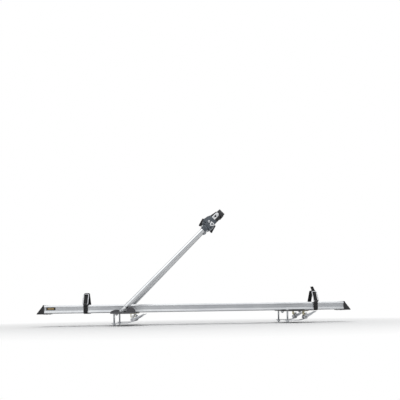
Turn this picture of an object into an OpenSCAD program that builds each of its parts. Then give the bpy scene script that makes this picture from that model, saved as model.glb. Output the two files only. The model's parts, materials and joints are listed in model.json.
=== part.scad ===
// Roof mounted bike carrier.
// X runs along the wheel tray to the rear, Y across it, Z up. All sizes are in millimetres.
// The origin is the middle of the front saddle, where the tray's support rests on its crossbar.

/* [Wheel tray] */
// Length of the aluminium extrusion
tray_l = 1360; // [1250:5:1500]
// Distance from the front crossbar's middle to the tray's front end
tray_lead = 352; // [300:2:420]
// Overall width of the tray
tray_w = 84; // [78:1:96]
// Overall height of the tray
tray_h = 37; // [34:0.5:44]
// Height of the channel's floor above the underside
floor_h = 15; // [14:0.5:17]
// Wall thickness of the extrusion
tray_wall = 2.2; // [1.8:0.1:2.6]
// Diameter of the rounded lip along each wall
lip_d = 6; // [5:0.5:8]
// How far the web lies inside the overall width
web_in = 3.5; // [3:0.25:4.5]
// Height at which the sloping ledge meets the web
ledge_h = 13; // [11:0.5:14]
// Width of the T-slot's mouth
slot_w = 9; // [8.8:0.1:10]

/* [End caps and label] */
// Length of the wedge in front of the tray's end
cap_l = 32; // [24:1:44]
// Length of the tongue under the tray
tongue_l = 14; // [12:1:20]
// Thickness of the tongue
tongue_t = 2.4; // [2:0.1:2.8]
// Length of the label on the near wall
label_l = 40; // [30:1:50]
// Height of the label
label_h = 13; // [10:0.5:14]

/* [Supports] */
// Distance between the middles of the two crossbars
bar_spacing = 770; // [650:5:800]
// Width of the widest crossbar that the clamps take
bar_w = 56; // [46:1:60]
// Height of that crossbar
bar_h = 37; // [30:1:42]
// Thickness of the rubber saddle pads
pad_t = 2; // [1.6:0.1:4]
// Thickness of the steel cross plates
plate_t = 3; // [2.5:0.1:5]
// Distance from the tray's middle to the clamps on the rear cross plate
rear_clamp_y = 76; // [64:1:90]

/* [Crossbar clamps] */
// Width of the steel band under the crossbar
band_w = 24; // [18:1:30]
// Thickness of the band
band_t = 2.5; // [2:0.1:3.5]
// Outer radius of the band's rolled eye
eye_r = 9.2; // [8:0.1:10]
// Diameter of the tubular hinge pin in the eye
pin_d = 8; // [6:0.5:9]
// Length of the lever from its pin to its tip
lever_l = 54; // [44:1:70]
// Slope of the closed lever above the horizontal
lever_tilt = 27; // [20:1:34]

/* [Folding arm] */
// Slope of the arm as it holds a frame
arm_tilt = 45; // [35:1:65]
// Distance from the tray's middle to each leg at its pivot
pivot_y = 100; // [90:1:115]
// Distance from each leg's axis to the tray's middle at the head
leg_top_y = 34; // [33:0.5:40]
// Distance from the pivot to the tops of the legs
head_u = 525; // [400:5:600]
// Outer diameter of the legs
leg_d = 20; // [18:0.5:22]
// Wall thickness of the legs
leg_wall = 1.5; // [1.2:0.1:2]
// Diameter of the frame tube that the jaws hold
tube_d = 44; // [36:1:48]
// Thickness of each jaw
jaw_t = 9; // [8:0.5:11]
// Reach of the knob's wings
knob_r = 40; // [30:1:42]

/* [Wheel straps] */
// Width of the straps
strap_w = 18; // [14:1:18]
// Thickness of the straps
strap_t = 2.2; // [1.6:0.1:2.6]
// Height of the top of the strap's loop above the tray's underside
strap_top = 91; // [80:1:110]
// Place of the front strap along the tray
front_strap_x = -172; // [-190:1:-150]
// Distance from the rear crossbar's middle to the rear strap
rear_strap_reach = 104; // [102:1:130]
// Width of the wire buckle
buckle_w = 26; // [25:0.5:32]
// Length of the wire buckle
buckle_l = 56; // [44:1:60]
// Diameter of the buckle's wire
wire_d = 3.6; // [3:0.1:4]

/* [Fasteners and clearances] */
// Diameter of the main bolts
bolt_d = 8; // [7:0.5:8]
// Width of the nuts across their flats
nut_af = 13; // [11:0.5:13]
// Height of the nuts
nut_h = 6.5; // [5:0.5:7]
// Height of the bolt heads
bolt_head_h = 5; // [4:0.25:5.5]
// Radial clearance of pins and bolts that turn or slide in a bore
fit_gap = 0.05; // [0.03:0.01:0.09]
// Gap between faces that move past each other
part_gap = 0.3; // [0.25:0.05:0.5]

/* [Hidden] */
$fn = 64;

// Wheel tray
tray_z = pad_t + plate_t;
tray_x0 = -tray_lead;
tray_x1 = tray_l - tray_lead;
tray_half = tray_w / 2;
web_half = tray_half - web_in;
channel_half = web_half - tray_wall;
foot_in = 4;
foot_half = tray_half - foot_in;
foot_h = 3;
edge_h = 1.5;
slot_lip = 2.5;
slot_cavity_w = 2 * nut_af - 8;
slot_cavity_h = bolt_head_h + 3;
cap_side = 0.5;
cap_rise = 1;
cap_nose = 3;
plug_l = 12;
plug_t = 3;
screw_d = 4;
cap_screw_y = tray_half * 4 / 7;
cap_screw_x = tongue_l / 2;
label_t = 0.4;
label_x = tray_x0 + 9;

// Supports: the rear one slides, so it keeps a gap under the tray
bar_clear = 2;
gap_half = bar_w / 2 + bar_clear;
plate_margin = 24;
base_half_l = gap_half + plate_margin;
tray_bolt_x = gap_half + 12;
pad_half = gap_half - bar_clear;
front_clamp_y = pivot_y;
rear_half_w = rear_clamp_y + band_w / 2 + 6;
hole_gap = 0.2;

// Pivot blocks
lug_half = leg_d / 2 + 0.2;
lug_r = leg_d / 2 - leg_wall - 0.3;
spigot_r = leg_d / 2 - leg_wall - 0.1;
block_floor = 2.2;
pivot_x = -3;
pivot_z = tray_z + block_floor + lug_r + 0.6;
cheek_t = 9.4;
cheek_y1 = pivot_y - lug_half - part_gap - 0.1;
cheek_y0 = cheek_y1 - cheek_t;
lobe_y0 = pivot_y + lug_half + 2 * part_gap;
lobe_t = 15;
lobe_y1 = lobe_y0 + lobe_t;
skirt_t = 3.5;
base_half_w = lobe_y1 - skirt_t - part_gap;
skirt_z = 0.8;
lobe_gap = 15;
left_lobe_x1 = pivot_x - lobe_gap;
right_lobe_x0 = pivot_x + lobe_gap;
lobe_top = pivot_z + 3.5;
right_lobe_top = lobe_top + 9;
right_lobe_r = (base_half_l - right_lobe_x0) / 2;
boss_r = pivot_z - tray_z - hole_gap;
block_screw_d = 5;
block_screw_head = 9.2;
block_screw_h = 3;

// Crossbar clamps, measured from the middle of the crossbar's top
band_top = -(bar_h + bar_clear);
clamp_bolt_x = -(gap_half + 10);
clamp_end_x = clamp_bolt_x - 10;
eye_x = gap_half + 10;
eye_z = band_top + 13;
hook_t = 2.5;
hook_w = band_w - 4;
hook_r1 = 13.7;
claw_r = 2;
claw_reach = hook_r1 + claw_r + part_gap;
claw_angle = 83;
ear_t = 3;
ear_gap = 0.4;
ear_y0 = band_w / 2 + ear_gap;
lever_half = ear_y0 + ear_t;
lever_t = 3;
lever_start = eye_r + 1.3;
flange_start = lever_start + 8;
flange_end = lever_l - 18;
clamp_bolt_end = band_top - band_t - nut_h - 4;

// Arm: u runs up the arm from the pivot, w is square to it and to Y
leg_angle = atan((pivot_y - leg_top_y) / head_u);
leg_l = head_u / cos(leg_angle);
leg_start = leg_d;
rivet_x = leg_start + 18;
rivet_d = 5;
tube_r = tube_d / 2;
neck_l = 38;
clamp_u = head_u + neck_l + tube_r;
core_u1 = clamp_u - tube_r - 2;
core_u0 = head_u + 2;
jaw_y = tube_r + 5;
core_near = jaw_y - 2 * part_gap;
hinge_u = head_u + 9;
hinge_y = jaw_y + jaw_t / 2;
hinge_pin_d = 5;
knuckle_r = jaw_t / 2 + part_gap;
knuckle_half = 14;
ear_len = 8;
knob_u = hinge_u + 21;
knob_w = 7;
socket_u0 = head_u - 17;
socket_wall = 3;
socket_half_w = leg_d / 2 + socket_wall + 1;
socket_half_y = leg_top_y + leg_d / 2 + socket_wall;
leg_bolt_u = head_u - 8;
leg_bolt_d = 6;
jaw_u1 = clamp_u + tube_r + 5;
pad_half_l = 18;
pad_reach = 9;
plate_w0 = -5;
plate_w1 = 12.5;
jaw_plate_t = 2;
hook_u1 = jaw_u1 + 22;
hook_mouth = 8;
knob_y0 = socket_half_y + 2;
knob_t = 14;
jaw_bolt_head_r = 6.5;
jaw_bolt_head_h = 4.5;
jaw_low = 24;
jaw_high = 33;
jaw_tip_low = 12;
jaw_tip_high = 16;
jaw_hook_w0 = -19;
jaw_hook_w = 32;
knob_hub_r = 13;
knob_end_r = 4;
knob_neck = 9;
knob_spread = 26;
knob_first_wing = 105;

// Wheel straps: one rounded outline, with the same radius at all six corners
rear_strap_x = bar_spacing + rear_strap_reach;
full_turn = 360;
strap_gap = 0.6;
strap_r = 5;
strap_side = tray_half + strap_gap - strap_r;
strap_z0 = tray_z - strap_gap + strap_r;
strap_z1 = tray_z + tray_h + 4;
strap_z2 = tray_z + strap_top - strap_t - strap_r;
strap_ridge = 13;
strap_corners = [[-strap_side, strap_z0], [strap_side, strap_z0], [strap_side, strap_z1],
                 [strap_ridge, strap_z2], [-strap_ridge, strap_z2], [-strap_side, strap_z1]];
buckle_tilt = atan2(strap_z2 - strap_z1, strap_side - strap_ridge);
buckle_lift = strap_r + strap_t + 0.4 + wire_d / 2;
buckle_drop = 6.5;
buckle_y = -strap_side - buckle_lift * sin(buckle_tilt) - buckle_drop * cos(buckle_tilt);
buckle_z = strap_z1 + buckle_lift * cos(buckle_tilt) - buckle_drop * sin(buckle_tilt);
keeper_half = buckle_w / 2 - wire_d - 0.8;
keeper_wall = 1.8;
tail_rise = 18;
tail_lean = 9;

// Helpers

// Extrudes a shape drawn in Y and Z along X, from x to x + l
module along_x(x, l) {
    translate([x, 0, 0]) rotate([90, 0, 90]) linear_extrude(l) children();
}

// Extrudes a shape drawn in X and Z along Y, from y to y + t
module along_y(y, t) {
    translate([0, y + t, 0]) rotate([90, 0, 0]) linear_extrude(t) children();
}

// A rod along Y, from y to y + l
module rod_y(x, y, z, r, l) {
    translate([x, y + l, z]) rotate([90, 0, 0]) cylinder(h = l, r = r);
}

// A hexagon prism that stands on z
module hex(z, h) {
    translate([0, 0, z]) cylinder(h = h, r = nut_af / 2 / cos(30), $fn = 6);
}

// A block between two corners
module block(a, b) {
    translate(a) cube(b - a);
}

// Places its children at the arm's pivot with X up the arm
module arm_frame() {
    translate([pivot_x, 0, pivot_z]) rotate([0, -arm_tilt, 0]) children();
}

// Places its children at one leg's pivot, with X along the leg; side is -1 near, 1 far
module leg_frame(side) {
    arm_frame() translate([0, side * pivot_y, 0]) rotate([0, 0, -side * leg_angle]) children();
}

// Mirrors its children across the tray where side is -1
module on_side(side) {
    mirror([0, side < 0 ? 1 : 0, 0]) children();
}

// Wheel tray

module tray_chamber() {
    inner = slot_cavity_w / 2 + tray_wall;
    polygon([[inner, tray_wall], [foot_half - tray_wall / 2, tray_wall],
             [tray_half - tray_wall, foot_h + tray_wall / 3], [channel_half, ledge_h - tray_wall / 9],
             [channel_half, floor_h - tray_wall], [inner, floor_h - tray_wall]]);
}

// The lip's outer face leans in towards its top
module tray_half_outline() {
    lip_z = tray_h - lip_d;
    lip_in = tray_half - lip_d;
    polygon([[0, 0], [foot_half, 0], [tray_half, foot_h], [tray_half, foot_h + edge_h],
             [web_half, ledge_h], [web_half, tray_h - lip_d / 2], [channel_half, tray_h - lip_d / 2],
             [channel_half, floor_h], [0, floor_h]]);
    polygon([[lip_in + 1, lip_z], [tray_half - 1, lip_z], [tray_half, lip_z + lip_d / 4],
             [tray_half - 0.4 * lip_d, tray_h - 0.5], [tray_half - lip_d / 2, tray_h],
             [lip_in + 1, tray_h], [lip_in, tray_h - 1], [lip_in, lip_z + 1]]);
}

module tray_section() {
    difference() {
        union() {
            tray_half_outline();
            mirror([1, 0]) tray_half_outline();
        }
        tray_chamber();
        mirror([1, 0]) tray_chamber();
        translate([-slot_w / 2, -1]) square([slot_w, slot_lip + 2]);
        translate([-slot_cavity_w / 2, slot_lip]) square([slot_cavity_w, slot_cavity_h]);
    }
}

module cap_screw_places() {
    for (x = [tray_x0 + cap_screw_x, tray_x1 - cap_screw_x], y = [-cap_screw_y, cap_screw_y]) {
        translate([x, y, tray_z]) children();
    }
}

module wheel_tray() {
    color("gainsboro") difference() {
        translate([0, 0, tray_z]) along_x(tray_x0, tray_l) tray_section();
        cap_screw_places() translate([0, 0, -1]) cylinder(h = tray_wall + 2, d = screw_d + 2 * fit_gap);
    }
}

// Drawn for the front end, with the tray's end face at x = 0
module end_cap() {
    low = tray_z - tongue_t;
    high = tray_z + tray_h + cap_rise;
    along_y(-tray_half - cap_side, tray_w + 2 * cap_side) {
        polygon([[0, low], [0, high], [-cap_nose, high], [-cap_l, low + cap_nose], [-cap_l, low]]);
    }
    difference() {
        block([-1, -foot_half, low], [tongue_l, foot_half, tray_z]);
        for (y = [-cap_screw_y, cap_screw_y]) {
            translate([cap_screw_x, y, low - 1]) cylinder(h = tongue_t + 2, d = screw_d + 2 * fit_gap);
        }
    }
    plug_half = channel_half - cap_side;
    block([-1, -plug_half, tray_z + floor_h], [plug_l, plug_half, tray_z + floor_h + plug_t]);
}

module front_end_cap() {
    color("#2b2b2d") translate([tray_x0, 0, 0]) end_cap();
}

module rear_end_cap() {
    color("#2b2b2d") translate([tray_x1, 0, 0]) mirror([1, 0, 0]) end_cap();
}

module end_cap_screws() {
    color("silver") cap_screw_places() {
        translate([0, 0, -tongue_t]) cylinder(h = tongue_t + tray_wall + 3, d = screw_d);
        translate([0, 0, -tongue_t - 1.6]) cylinder(h = 1.6, d = 2 * screw_d);
    }
}

module side_label() {
    middle = tray_z + (ledge_h + tray_h - lip_d) / 2 + 0.5;
    color("#1d1c1a") block([label_x, -web_half - label_t, middle - label_h / 2],
                           [label_x + label_l, -web_half, middle + label_h / 2]);
}

// Supports

// Bolts in the tray's T-slot, with their plate's top at z
module tray_bolts(x, top, lift) {
    for (dx = [-tray_bolt_x, tray_bolt_x]) translate([x + dx, 0, 0]) {
        head = nut_af + 3;
        seat = tray_z + slot_lip + lift;
        translate([-head / 2, -head / 2, seat]) cube([head, head, bolt_head_h]);
        translate([0, 0, top - plate_t - nut_h - 3]) {
            cylinder(h = seat - top + plate_t + nut_h + 4, d = bolt_d);
        }
    }
}

module ring_nut(z) {
    difference() {
        hex(z, nut_h);
        translate([0, 0, z - 1]) cylinder(h = nut_h + 2, d = bolt_d + 2 * fit_gap);
    }
}

module tray_nuts(x, top) {
    for (dx = [-tray_bolt_x, tray_bolt_x]) translate([x + dx, 0, 0]) ring_nut(top - plate_t - nut_h);
}

// Holes through a cross plate for its tray bolts and clamp bolts
module plate_holes(x, clamp_y) {
    hole = bolt_d + 2 * hole_gap;
    for (dx = [-tray_bolt_x, tray_bolt_x]) translate([x + dx, 0, -1]) cylinder(h = tray_z + 2, d = hole);
    for (y = [-clamp_y, clamp_y]) translate([x + clamp_bolt_x, y, -1]) cylinder(h = tray_z + 2, d = hole);
}

module block_screw_places() {
    middle_y = (lobe_y0 + lobe_y1) / 2;
    for (side = [-1, 1], x = [-base_half_l / 2, right_lobe_x0 + right_lobe_r]) {
        translate([x, side * middle_y, lobe_top - block_screw_h - 3]) children();
    }
}

module base_plate() {
    color("#3a3a3e") difference() {
        block([-base_half_l, -base_half_w, pad_t], [base_half_l, base_half_w, tray_z]);
        plate_holes(0, front_clamp_y);
        block_screw_places() translate([0, 0, -lobe_top]) {
            cylinder(h = 2 * lobe_top, d = block_screw_d + 2 * hole_gap);
        }
    }
}

module front_saddle_pad() {
    color("#222222") block([-pad_half, -base_half_w + 4, 0], [pad_half, base_half_w - 4, pad_t]);
}

module rear_cross_plate() {
    top = tray_z - part_gap;
    color("#3a3a3e") difference() {
        block([bar_spacing - base_half_l, -rear_half_w, top - plate_t],
              [bar_spacing + base_half_l, rear_half_w, top]);
        plate_holes(bar_spacing, rear_clamp_y);
    }
}

module rear_saddle_pad() {
    color("#222222") block([bar_spacing - pad_half, -rear_half_w + 4, 0],
                           [bar_spacing + pad_half, rear_half_w - 4, pad_t - part_gap]);
}

module front_tray_bolts() {
    color("silver") tray_bolts(0, tray_z, 0);
}

module front_tray_nuts() {
    color("silver") tray_nuts(0, tray_z);
}

module rear_tray_bolts() {
    color("silver") tray_bolts(bar_spacing, tray_z - part_gap, part_gap);
}

module rear_tray_nuts() {
    color("silver") tray_nuts(bar_spacing, tray_z - part_gap);
}

// Pivot blocks

module left_lobe_shape() {
    dome_r = base_half_l * 0.7;
    intersection() {
        translate([-base_half_l, tray_z]) square([base_half_l + left_lobe_x1, lobe_top]);
        translate([-base_half_l / 2, lobe_top - 1 - dome_r]) circle(r = dome_r);
    }
}

module right_lobe_shape() {
    intersection() {
        translate([right_lobe_x0, tray_z]) square([base_half_l, right_lobe_top]);
        translate([right_lobe_x0 + right_lobe_r, right_lobe_top - right_lobe_r]) circle(r = right_lobe_r);
    }
}

// The far block; the leg swings in the slot between its cheek and its right lobe
module pivot_block() {
    difference() {
        union() {
            block([-base_half_l, cheek_y0, tray_z], [base_half_l - 2, lobe_y1, tray_z + block_floor]);
            along_y(cheek_y0, lobe_y1 - cheek_y0) left_lobe_shape();
            along_y(lobe_y0, lobe_t) right_lobe_shape();
            block([-base_half_l + 4, lobe_y1 - skirt_t, skirt_z], [base_half_l - 4, lobe_y1, tray_z + 1]);
            along_y(cheek_y0, cheek_t) {
                translate([pivot_x, pivot_z]) circle(r = boss_r);
                translate([pivot_x - boss_r, tray_z]) square([2 * boss_r, pivot_z - tray_z]);
            }
        }
        rod_y(pivot_x, cheek_y0 - 1, pivot_z, bolt_d / 2 + fit_gap, cheek_t + 2);
        translate([clamp_bolt_x, front_clamp_y, tray_z - 1]) {
            cylinder(h = bolt_head_h + 2, d = nut_af + 5);
        }
        block_screw_places() {
            cylinder(h = right_lobe_top, d = block_screw_head + 2 * hole_gap);
            translate([0, 0, -lobe_top]) cylinder(h = 2 * lobe_top, d = block_screw_d + 2 * hole_gap);
        }
    }
}

module near_pivot_block() {
    color("#4a4a50") on_side(-1) pivot_block();
}

module far_pivot_block() {
    color("#4a4a50") pivot_block();
}

module block_screws() {
    color("silver") block_screw_places() {
        cylinder(h = block_screw_h, d = block_screw_head);
        translate([0, 0, pad_t - lobe_top + block_screw_h + 3]) {
            cylinder(h = lobe_top - pad_t - block_screw_h - 2.5, d = block_screw_d);
        }
    }
}

module pivot_bolts() {
    head_y = pivot_y + lug_half + part_gap;
    end_y = cheek_y0 - nut_h - 3;
    color("silver") for (side = [-1, 1]) on_side(side) {
        rod_y(pivot_x, head_y, pivot_z, 0.875 * bolt_d, bolt_head_h);
        rod_y(pivot_x, end_y, pivot_z, bolt_d / 2, head_y - end_y + 1);
    }
}

module pivot_nuts() {
    color("silver") for (side = [-1, 1]) on_side(side) {
        translate([pivot_x, cheek_y0, pivot_z]) rotate([90, 0, 0]) ring_nut(0);
    }
}

// Crossbar clamps, each drawn at the middle of its crossbar's top

module band_shape() {
    eye_low = eye_z - eye_r + band_t / 2;
    bend_x = gap_half / 2;
    difference() {
        union() {
            polygon([[clamp_end_x, band_top - band_t], [bend_x, band_top - band_t],
                     [eye_x + 1, eye_low - band_t / 2], [eye_x + 1, eye_low + band_t / 2],
                     [bend_x, band_top], [clamp_end_x, band_top]]);
            translate([eye_x, eye_z]) circle(r = eye_r);
        }
        translate([eye_x, eye_z]) circle(d = pin_d + 2 * fit_gap);
    }
}

module clamp_band(x, y) {
    color("lightgray") translate([x, y, 0]) difference() {
        along_y(-band_w / 2, band_w) band_shape();
        translate([clamp_bolt_x, 0, band_top - band_t - 1]) {
            cylinder(h = band_t + 2, d = bolt_d + 2 * hole_gap);
        }
    }
}

module ear_shape() {
    claw = claw_reach * [cos(claw_angle), sin(claw_angle)];
    difference() {
        union() {
            circle(r = eye_r);
            translate(claw) circle(r = 2 * claw_r);
            rotate(claw_angle) translate([0, -1.5 * claw_r]) square([claw_reach, 3 * claw_r]);
            rotate(lever_tilt) {
                polygon([[0, -eye_r / 2], [flange_start, -eye_r / 2], [flange_end, -lever_t / 2 - 1],
                         [flange_end, lever_t / 2 + 1], [flange_start, eye_r / 2], [0, eye_r / 2]]);
            }
        }
        circle(d = pin_d + 2 * fit_gap);
    }
}

module clamp_lever(x, y) {
    hole_r = 5;
    blade_half = lever_half - ear_t / 4;
    color("lightgray") translate([x + eye_x, y, eye_z]) {
        along_y(-lever_half, ear_t) ear_shape();
        along_y(ear_y0, ear_t) ear_shape();
        rotate([0, -claw_angle, 0]) rod_y(claw_reach, -ear_y0 - 1, 0, claw_r, 2 * ear_y0 + 2);
        rotate([0, -lever_tilt, 0]) difference() {
            block([lever_start, -blade_half, -lever_t / 2], [lever_l, blade_half, lever_t / 2]);
            translate([lever_l - 2 * hole_r, 0, -lever_t]) cylinder(h = 2 * lever_t, r = hole_r);
        }
    }
}

module clamp_pins(x, y) {
    pin_l = 2 * lever_half + 2;
    color("dimgray") for (side = [-1, 1]) difference() {
        rod_y(x + eye_x, side * y - pin_l / 2, eye_z, pin_d / 2, pin_l);
        rod_y(x + eye_x, side * y - pin_l / 2 - 1, eye_z, 0.32 * pin_d, pin_l + 2);
    }
}

// The hook that the lever's claw draws the band up to, under a cross plate whose underside is at z
module hook_shape(z) {
    wall_x = gap_half + 1;
    translate([wall_x, z - hook_t]) square([plate_margin - 3, hook_t]);
    translate([wall_x, eye_z + hook_r1 - 3]) square([hook_t, z - eye_z - hook_r1 + 3]);
    intersection() {
        translate([eye_x, eye_z]) difference() {
            circle(r = hook_r1);
            circle(r = eye_r + 1);
        }
        translate([wall_x, eye_z + hook_r1 - 3.5]) square([plate_margin - 9, 3.5]);
    }
}

module clamp_hooks(x, y, z) {
    color("#cfc48f") for (side = [-1, 1]) translate([x, side * y, 0]) {
        along_y(-hook_w / 2, hook_w) hook_shape(z);
    }
}

module clamp_bolts(x, y, top) {
    color("silver") for (side = [-1, 1]) translate([x + clamp_bolt_x, side * y, 0]) {
        hex(top, bolt_head_h);
        translate([0, 0, clamp_bolt_end]) cylinder(h = top - clamp_bolt_end + 1, d = bolt_d);
    }
}

module clamp_nuts(x, y) {
    color("silver") for (side = [-1, 1]) translate([x + clamp_bolt_x, side * y, 0]) {
        ring_nut(band_top - band_t - nut_h);
    }
}

module front_near_band() { clamp_band(0, -front_clamp_y); }
module front_far_band() { clamp_band(0, front_clamp_y); }
module front_near_lever() { clamp_lever(0, -front_clamp_y); }
module front_far_lever() { clamp_lever(0, front_clamp_y); }
module front_clamp_pins() { clamp_pins(0, front_clamp_y); }
module front_clamp_hooks() { clamp_hooks(0, front_clamp_y, pad_t); }
module front_clamp_bolts() { clamp_bolts(0, front_clamp_y, tray_z); }
module front_clamp_nuts() { clamp_nuts(0, front_clamp_y); }
module rear_near_band() { clamp_band(bar_spacing, -rear_clamp_y); }
module rear_far_band() { clamp_band(bar_spacing, rear_clamp_y); }
module rear_near_lever() { clamp_lever(bar_spacing, -rear_clamp_y); }
module rear_far_lever() { clamp_lever(bar_spacing, rear_clamp_y); }
module rear_clamp_pins() { clamp_pins(bar_spacing, rear_clamp_y); }
module rear_clamp_hooks() { clamp_hooks(bar_spacing, rear_clamp_y, pad_t - part_gap); }
module rear_clamp_bolts() { clamp_bolts(bar_spacing, rear_clamp_y, tray_z - part_gap); }
module rear_clamp_nuts() { clamp_nuts(bar_spacing, rear_clamp_y); }

// Folding arm

module leg(side) {
    color("whitesmoke") leg_frame(side) difference() {
        translate([leg_start, 0, 0]) rotate([0, 90, 0]) cylinder(h = leg_l - leg_start, d = leg_d);
        translate([leg_start - 1, 0, 0]) rotate([0, 90, 0]) {
            cylinder(h = leg_l - leg_start + 2, d = leg_d - 2 * leg_wall);
        }
        translate([rivet_x, 0, -leg_d]) cylinder(h = 2 * leg_d, d = rivet_d + 2 * fit_gap);
        translate([leg_bolt_u / cos(leg_angle), 0, -leg_d]) {
            cylinder(h = 2 * leg_d, d = leg_bolt_d + 2 * hole_gap);
        }
    }
}

module leg_lug(side) {
    spigot_x0 = 4;
    color("gainsboro") difference() {
        union() {
            arm_frame() rod_y(0, side * pivot_y - lug_half, 0, lug_r, 2 * lug_half);
            leg_frame(side) translate([spigot_x0, 0, 0]) rotate([0, 90, 0]) {
                cylinder(h = rivet_x + 12 - spigot_x0, r = spigot_r);
            }
        }
        arm_frame() rod_y(0, side * pivot_y - leg_d, 0, bolt_d / 2 + fit_gap, 2 * leg_d);
        leg_frame(side) translate([rivet_x, 0, -leg_d]) {
            cylinder(h = 2 * leg_d, d = rivet_d + 2 * fit_gap);
        }
    }
}

module near_leg() { leg(-1); }
module far_leg() { leg(1); }
module near_leg_lug() { leg_lug(-1); }
module far_leg_lug() { leg_lug(1); }

module lug_rivets() {
    head_h = 1.2;
    color("silver") for (side = [-1, 1]) leg_frame(side) translate([rivet_x, 0, 0]) {
        translate([0, 0, -leg_d / 2 - head_h]) cylinder(h = leg_d + 2 * head_h, d = rivet_d);
        for (z = [-leg_d / 2 - head_h, leg_d / 2]) {
            translate([0, 0, z]) cylinder(h = head_h, d = 1.8 * rivet_d);
        }
    }
}

// Head, drawn in the arm's frame: X up the arm, Z square to it

// Extrudes a shape drawn in u and Y along w, from w to w + l
module along_w(w, l) {
    translate([0, 0, w]) linear_extrude(l) children();
}

module head_core_shape() {
    polygon([[core_u0 - 4, -socket_half_w], [core_u0 + 13, -jaw_low + 2], [core_u1, -jaw_low],
             [core_u1, jaw_high - 6], [core_u0 + 17, jaw_high - 2], [core_u0 - 4, socket_half_w]]);
}

module head_body() {
    ear_w0 = knuckle_half + 0.4;
    color("#4b5158") arm_frame() difference() {
        union() {
            along_y(-core_near, core_near + jaw_y) head_core_shape();
            block([socket_u0, -socket_half_y, -socket_half_w], [core_u0, socket_half_y, socket_half_w]);
            for (w = [-ear_w0 - ear_len, ear_w0]) along_w(w, ear_len) {
                translate([hinge_u, -hinge_y]) circle(r = hinge_pin_d + 0.5);
                translate([core_u0 - 1, -hinge_y]) square([hinge_u - core_u0 + 6, hinge_y - core_near + 1]);
            }
        }
        for (side = [-1, 1]) translate([0, side * pivot_y, 0]) rotate([0, 0, -side * leg_angle]) {
            rotate([0, 90, 0]) cylinder(h = leg_l + hole_gap, d = leg_d + 2 * fit_gap);
        }
        rod_y(knob_u, -2 * jaw_y, knob_w, bolt_d / 2 + fit_gap, 4 * jaw_y);
        along_w(-2 * ear_len - knuckle_half, 4 * ear_len + 2 * knuckle_half) {
            translate([hinge_u, -hinge_y]) circle(d = hinge_pin_d + 2 * fit_gap);
        }
        for (side = [-1, 1]) leg_bolt_place(side) {
            cylinder(h = 3 * leg_d, d = leg_bolt_d + 2 * fit_gap, center = true);
        }
    }
}

// The middle of a leg's cross bolt, in the arm's frame
module leg_bolt_place(side) {
    translate([leg_bolt_u, side * (pivot_y - leg_bolt_u * tan(leg_angle)), 0]) children();
}

module leg_bolts() {
    head_h = 3;
    color("silver") arm_frame() for (side = [-1, 1]) leg_bolt_place(side) {
        cylinder(h = 2 * socket_half_w, d = leg_bolt_d, center = true);
        for (z = [-socket_half_w - head_h, socket_half_w]) {
            translate([0, 0, z]) cylinder(h = head_h, d = 1.7 * leg_bolt_d);
        }
    }
}

// Outline of a jaw in u and w above its hinge
module jaw_shape() {
    shoulder = hinge_u + 8;
    polygon([[shoulder, -jaw_low + 2], [core_u1, -jaw_low], [clamp_u - 8, -jaw_tip_low - 5],
             [jaw_u1, -jaw_tip_low], [jaw_u1, jaw_tip_high], [clamp_u - 4, jaw_tip_high + 6],
             [core_u1 + 6, jaw_high - 4], [shoulder + 2, jaw_high], [shoulder, jaw_high - 3]]);
    translate([hinge_u, -knuckle_half]) square([shoulder - hinge_u + 1, 2 * knuckle_half]);
}

module near_jaw() {
    slot_r = bolt_d / 2 + 0.6;
    color("#525a63") arm_frame() difference() {
        union() {
            along_y(-jaw_y - jaw_t, jaw_t) jaw_shape();
            along_w(-knuckle_half, 2 * knuckle_half) translate([hinge_u, -hinge_y]) circle(r = knuckle_r);
        }
        along_w(-knuckle_half - 1, 2 * knuckle_half + 2) {
            translate([hinge_u, -hinge_y]) circle(d = hinge_pin_d + 2 * fit_gap);
        }
        for (u = [knob_u, knob_u + jaw_t / 2]) rod_y(u, -hinge_y - jaw_t, knob_w, slot_r, 2 * jaw_t);
        block([knob_u, -hinge_y - jaw_t, knob_w - slot_r],
              [knob_u + jaw_t / 2, -hinge_y + jaw_t, knob_w + slot_r]);
    }
}

module far_jaw() {
    boss_y1 = knob_y0 - part_gap;
    color("#525a63") arm_frame() difference() {
        union() {
            along_y(jaw_y, jaw_t) jaw_shape();
            rod_y(knob_u, jaw_y + 1, knob_w, 11, boss_y1 - jaw_y - 1);
        }
        rod_y(knob_u, jaw_y - 1, knob_w, bolt_d / 2 + fit_gap, boss_y1);
    }
}

// Rubber pad on the near jaw, hollowed to the frame tube
module jaw_pad() {
    arm_frame() difference() {
        block([core_u1 + 0.5, -jaw_y, -pad_half_l + 2], [clamp_u + tube_r + 2, -pad_reach, pad_half_l - 2]);
        translate([clamp_u, 0, -pad_half_l - 1]) cylinder(h = 2 * pad_half_l + 2, r = tube_r);
    }
}

module near_jaw_pad() {
    color("#1b1b1c") jaw_pad();
}

module far_jaw_pad() {
    color("#1b1b1c") mirror([0, 1, 0]) jaw_pad();
}

// Hooked tip at the end of the near jaw
module jaw_hook() {
    outer = jaw_y + jaw_t + 1;
    arm_frame() along_w(jaw_hook_w0, jaw_hook_w) {
        polygon([[jaw_u1, -outer], [hook_u1 - 7, -outer + 4], [hook_u1, -outer + 13],
                 [hook_u1 - 1, -hook_mouth - 2], [hook_u1 - 4, -hook_mouth], [hook_u1 - 8, -hook_mouth - 2],
                 [hook_u1 - 9, -hook_mouth - 10], [jaw_u1 + 6, -jaw_y + 2], [jaw_u1, -jaw_y + 1]]);
    }
}

module near_jaw_hook() {
    color("#1e1e20") jaw_hook();
}

module far_jaw_hook() {
    color("#1e1e20") mirror([0, 1, 0]) jaw_hook();
}

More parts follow.
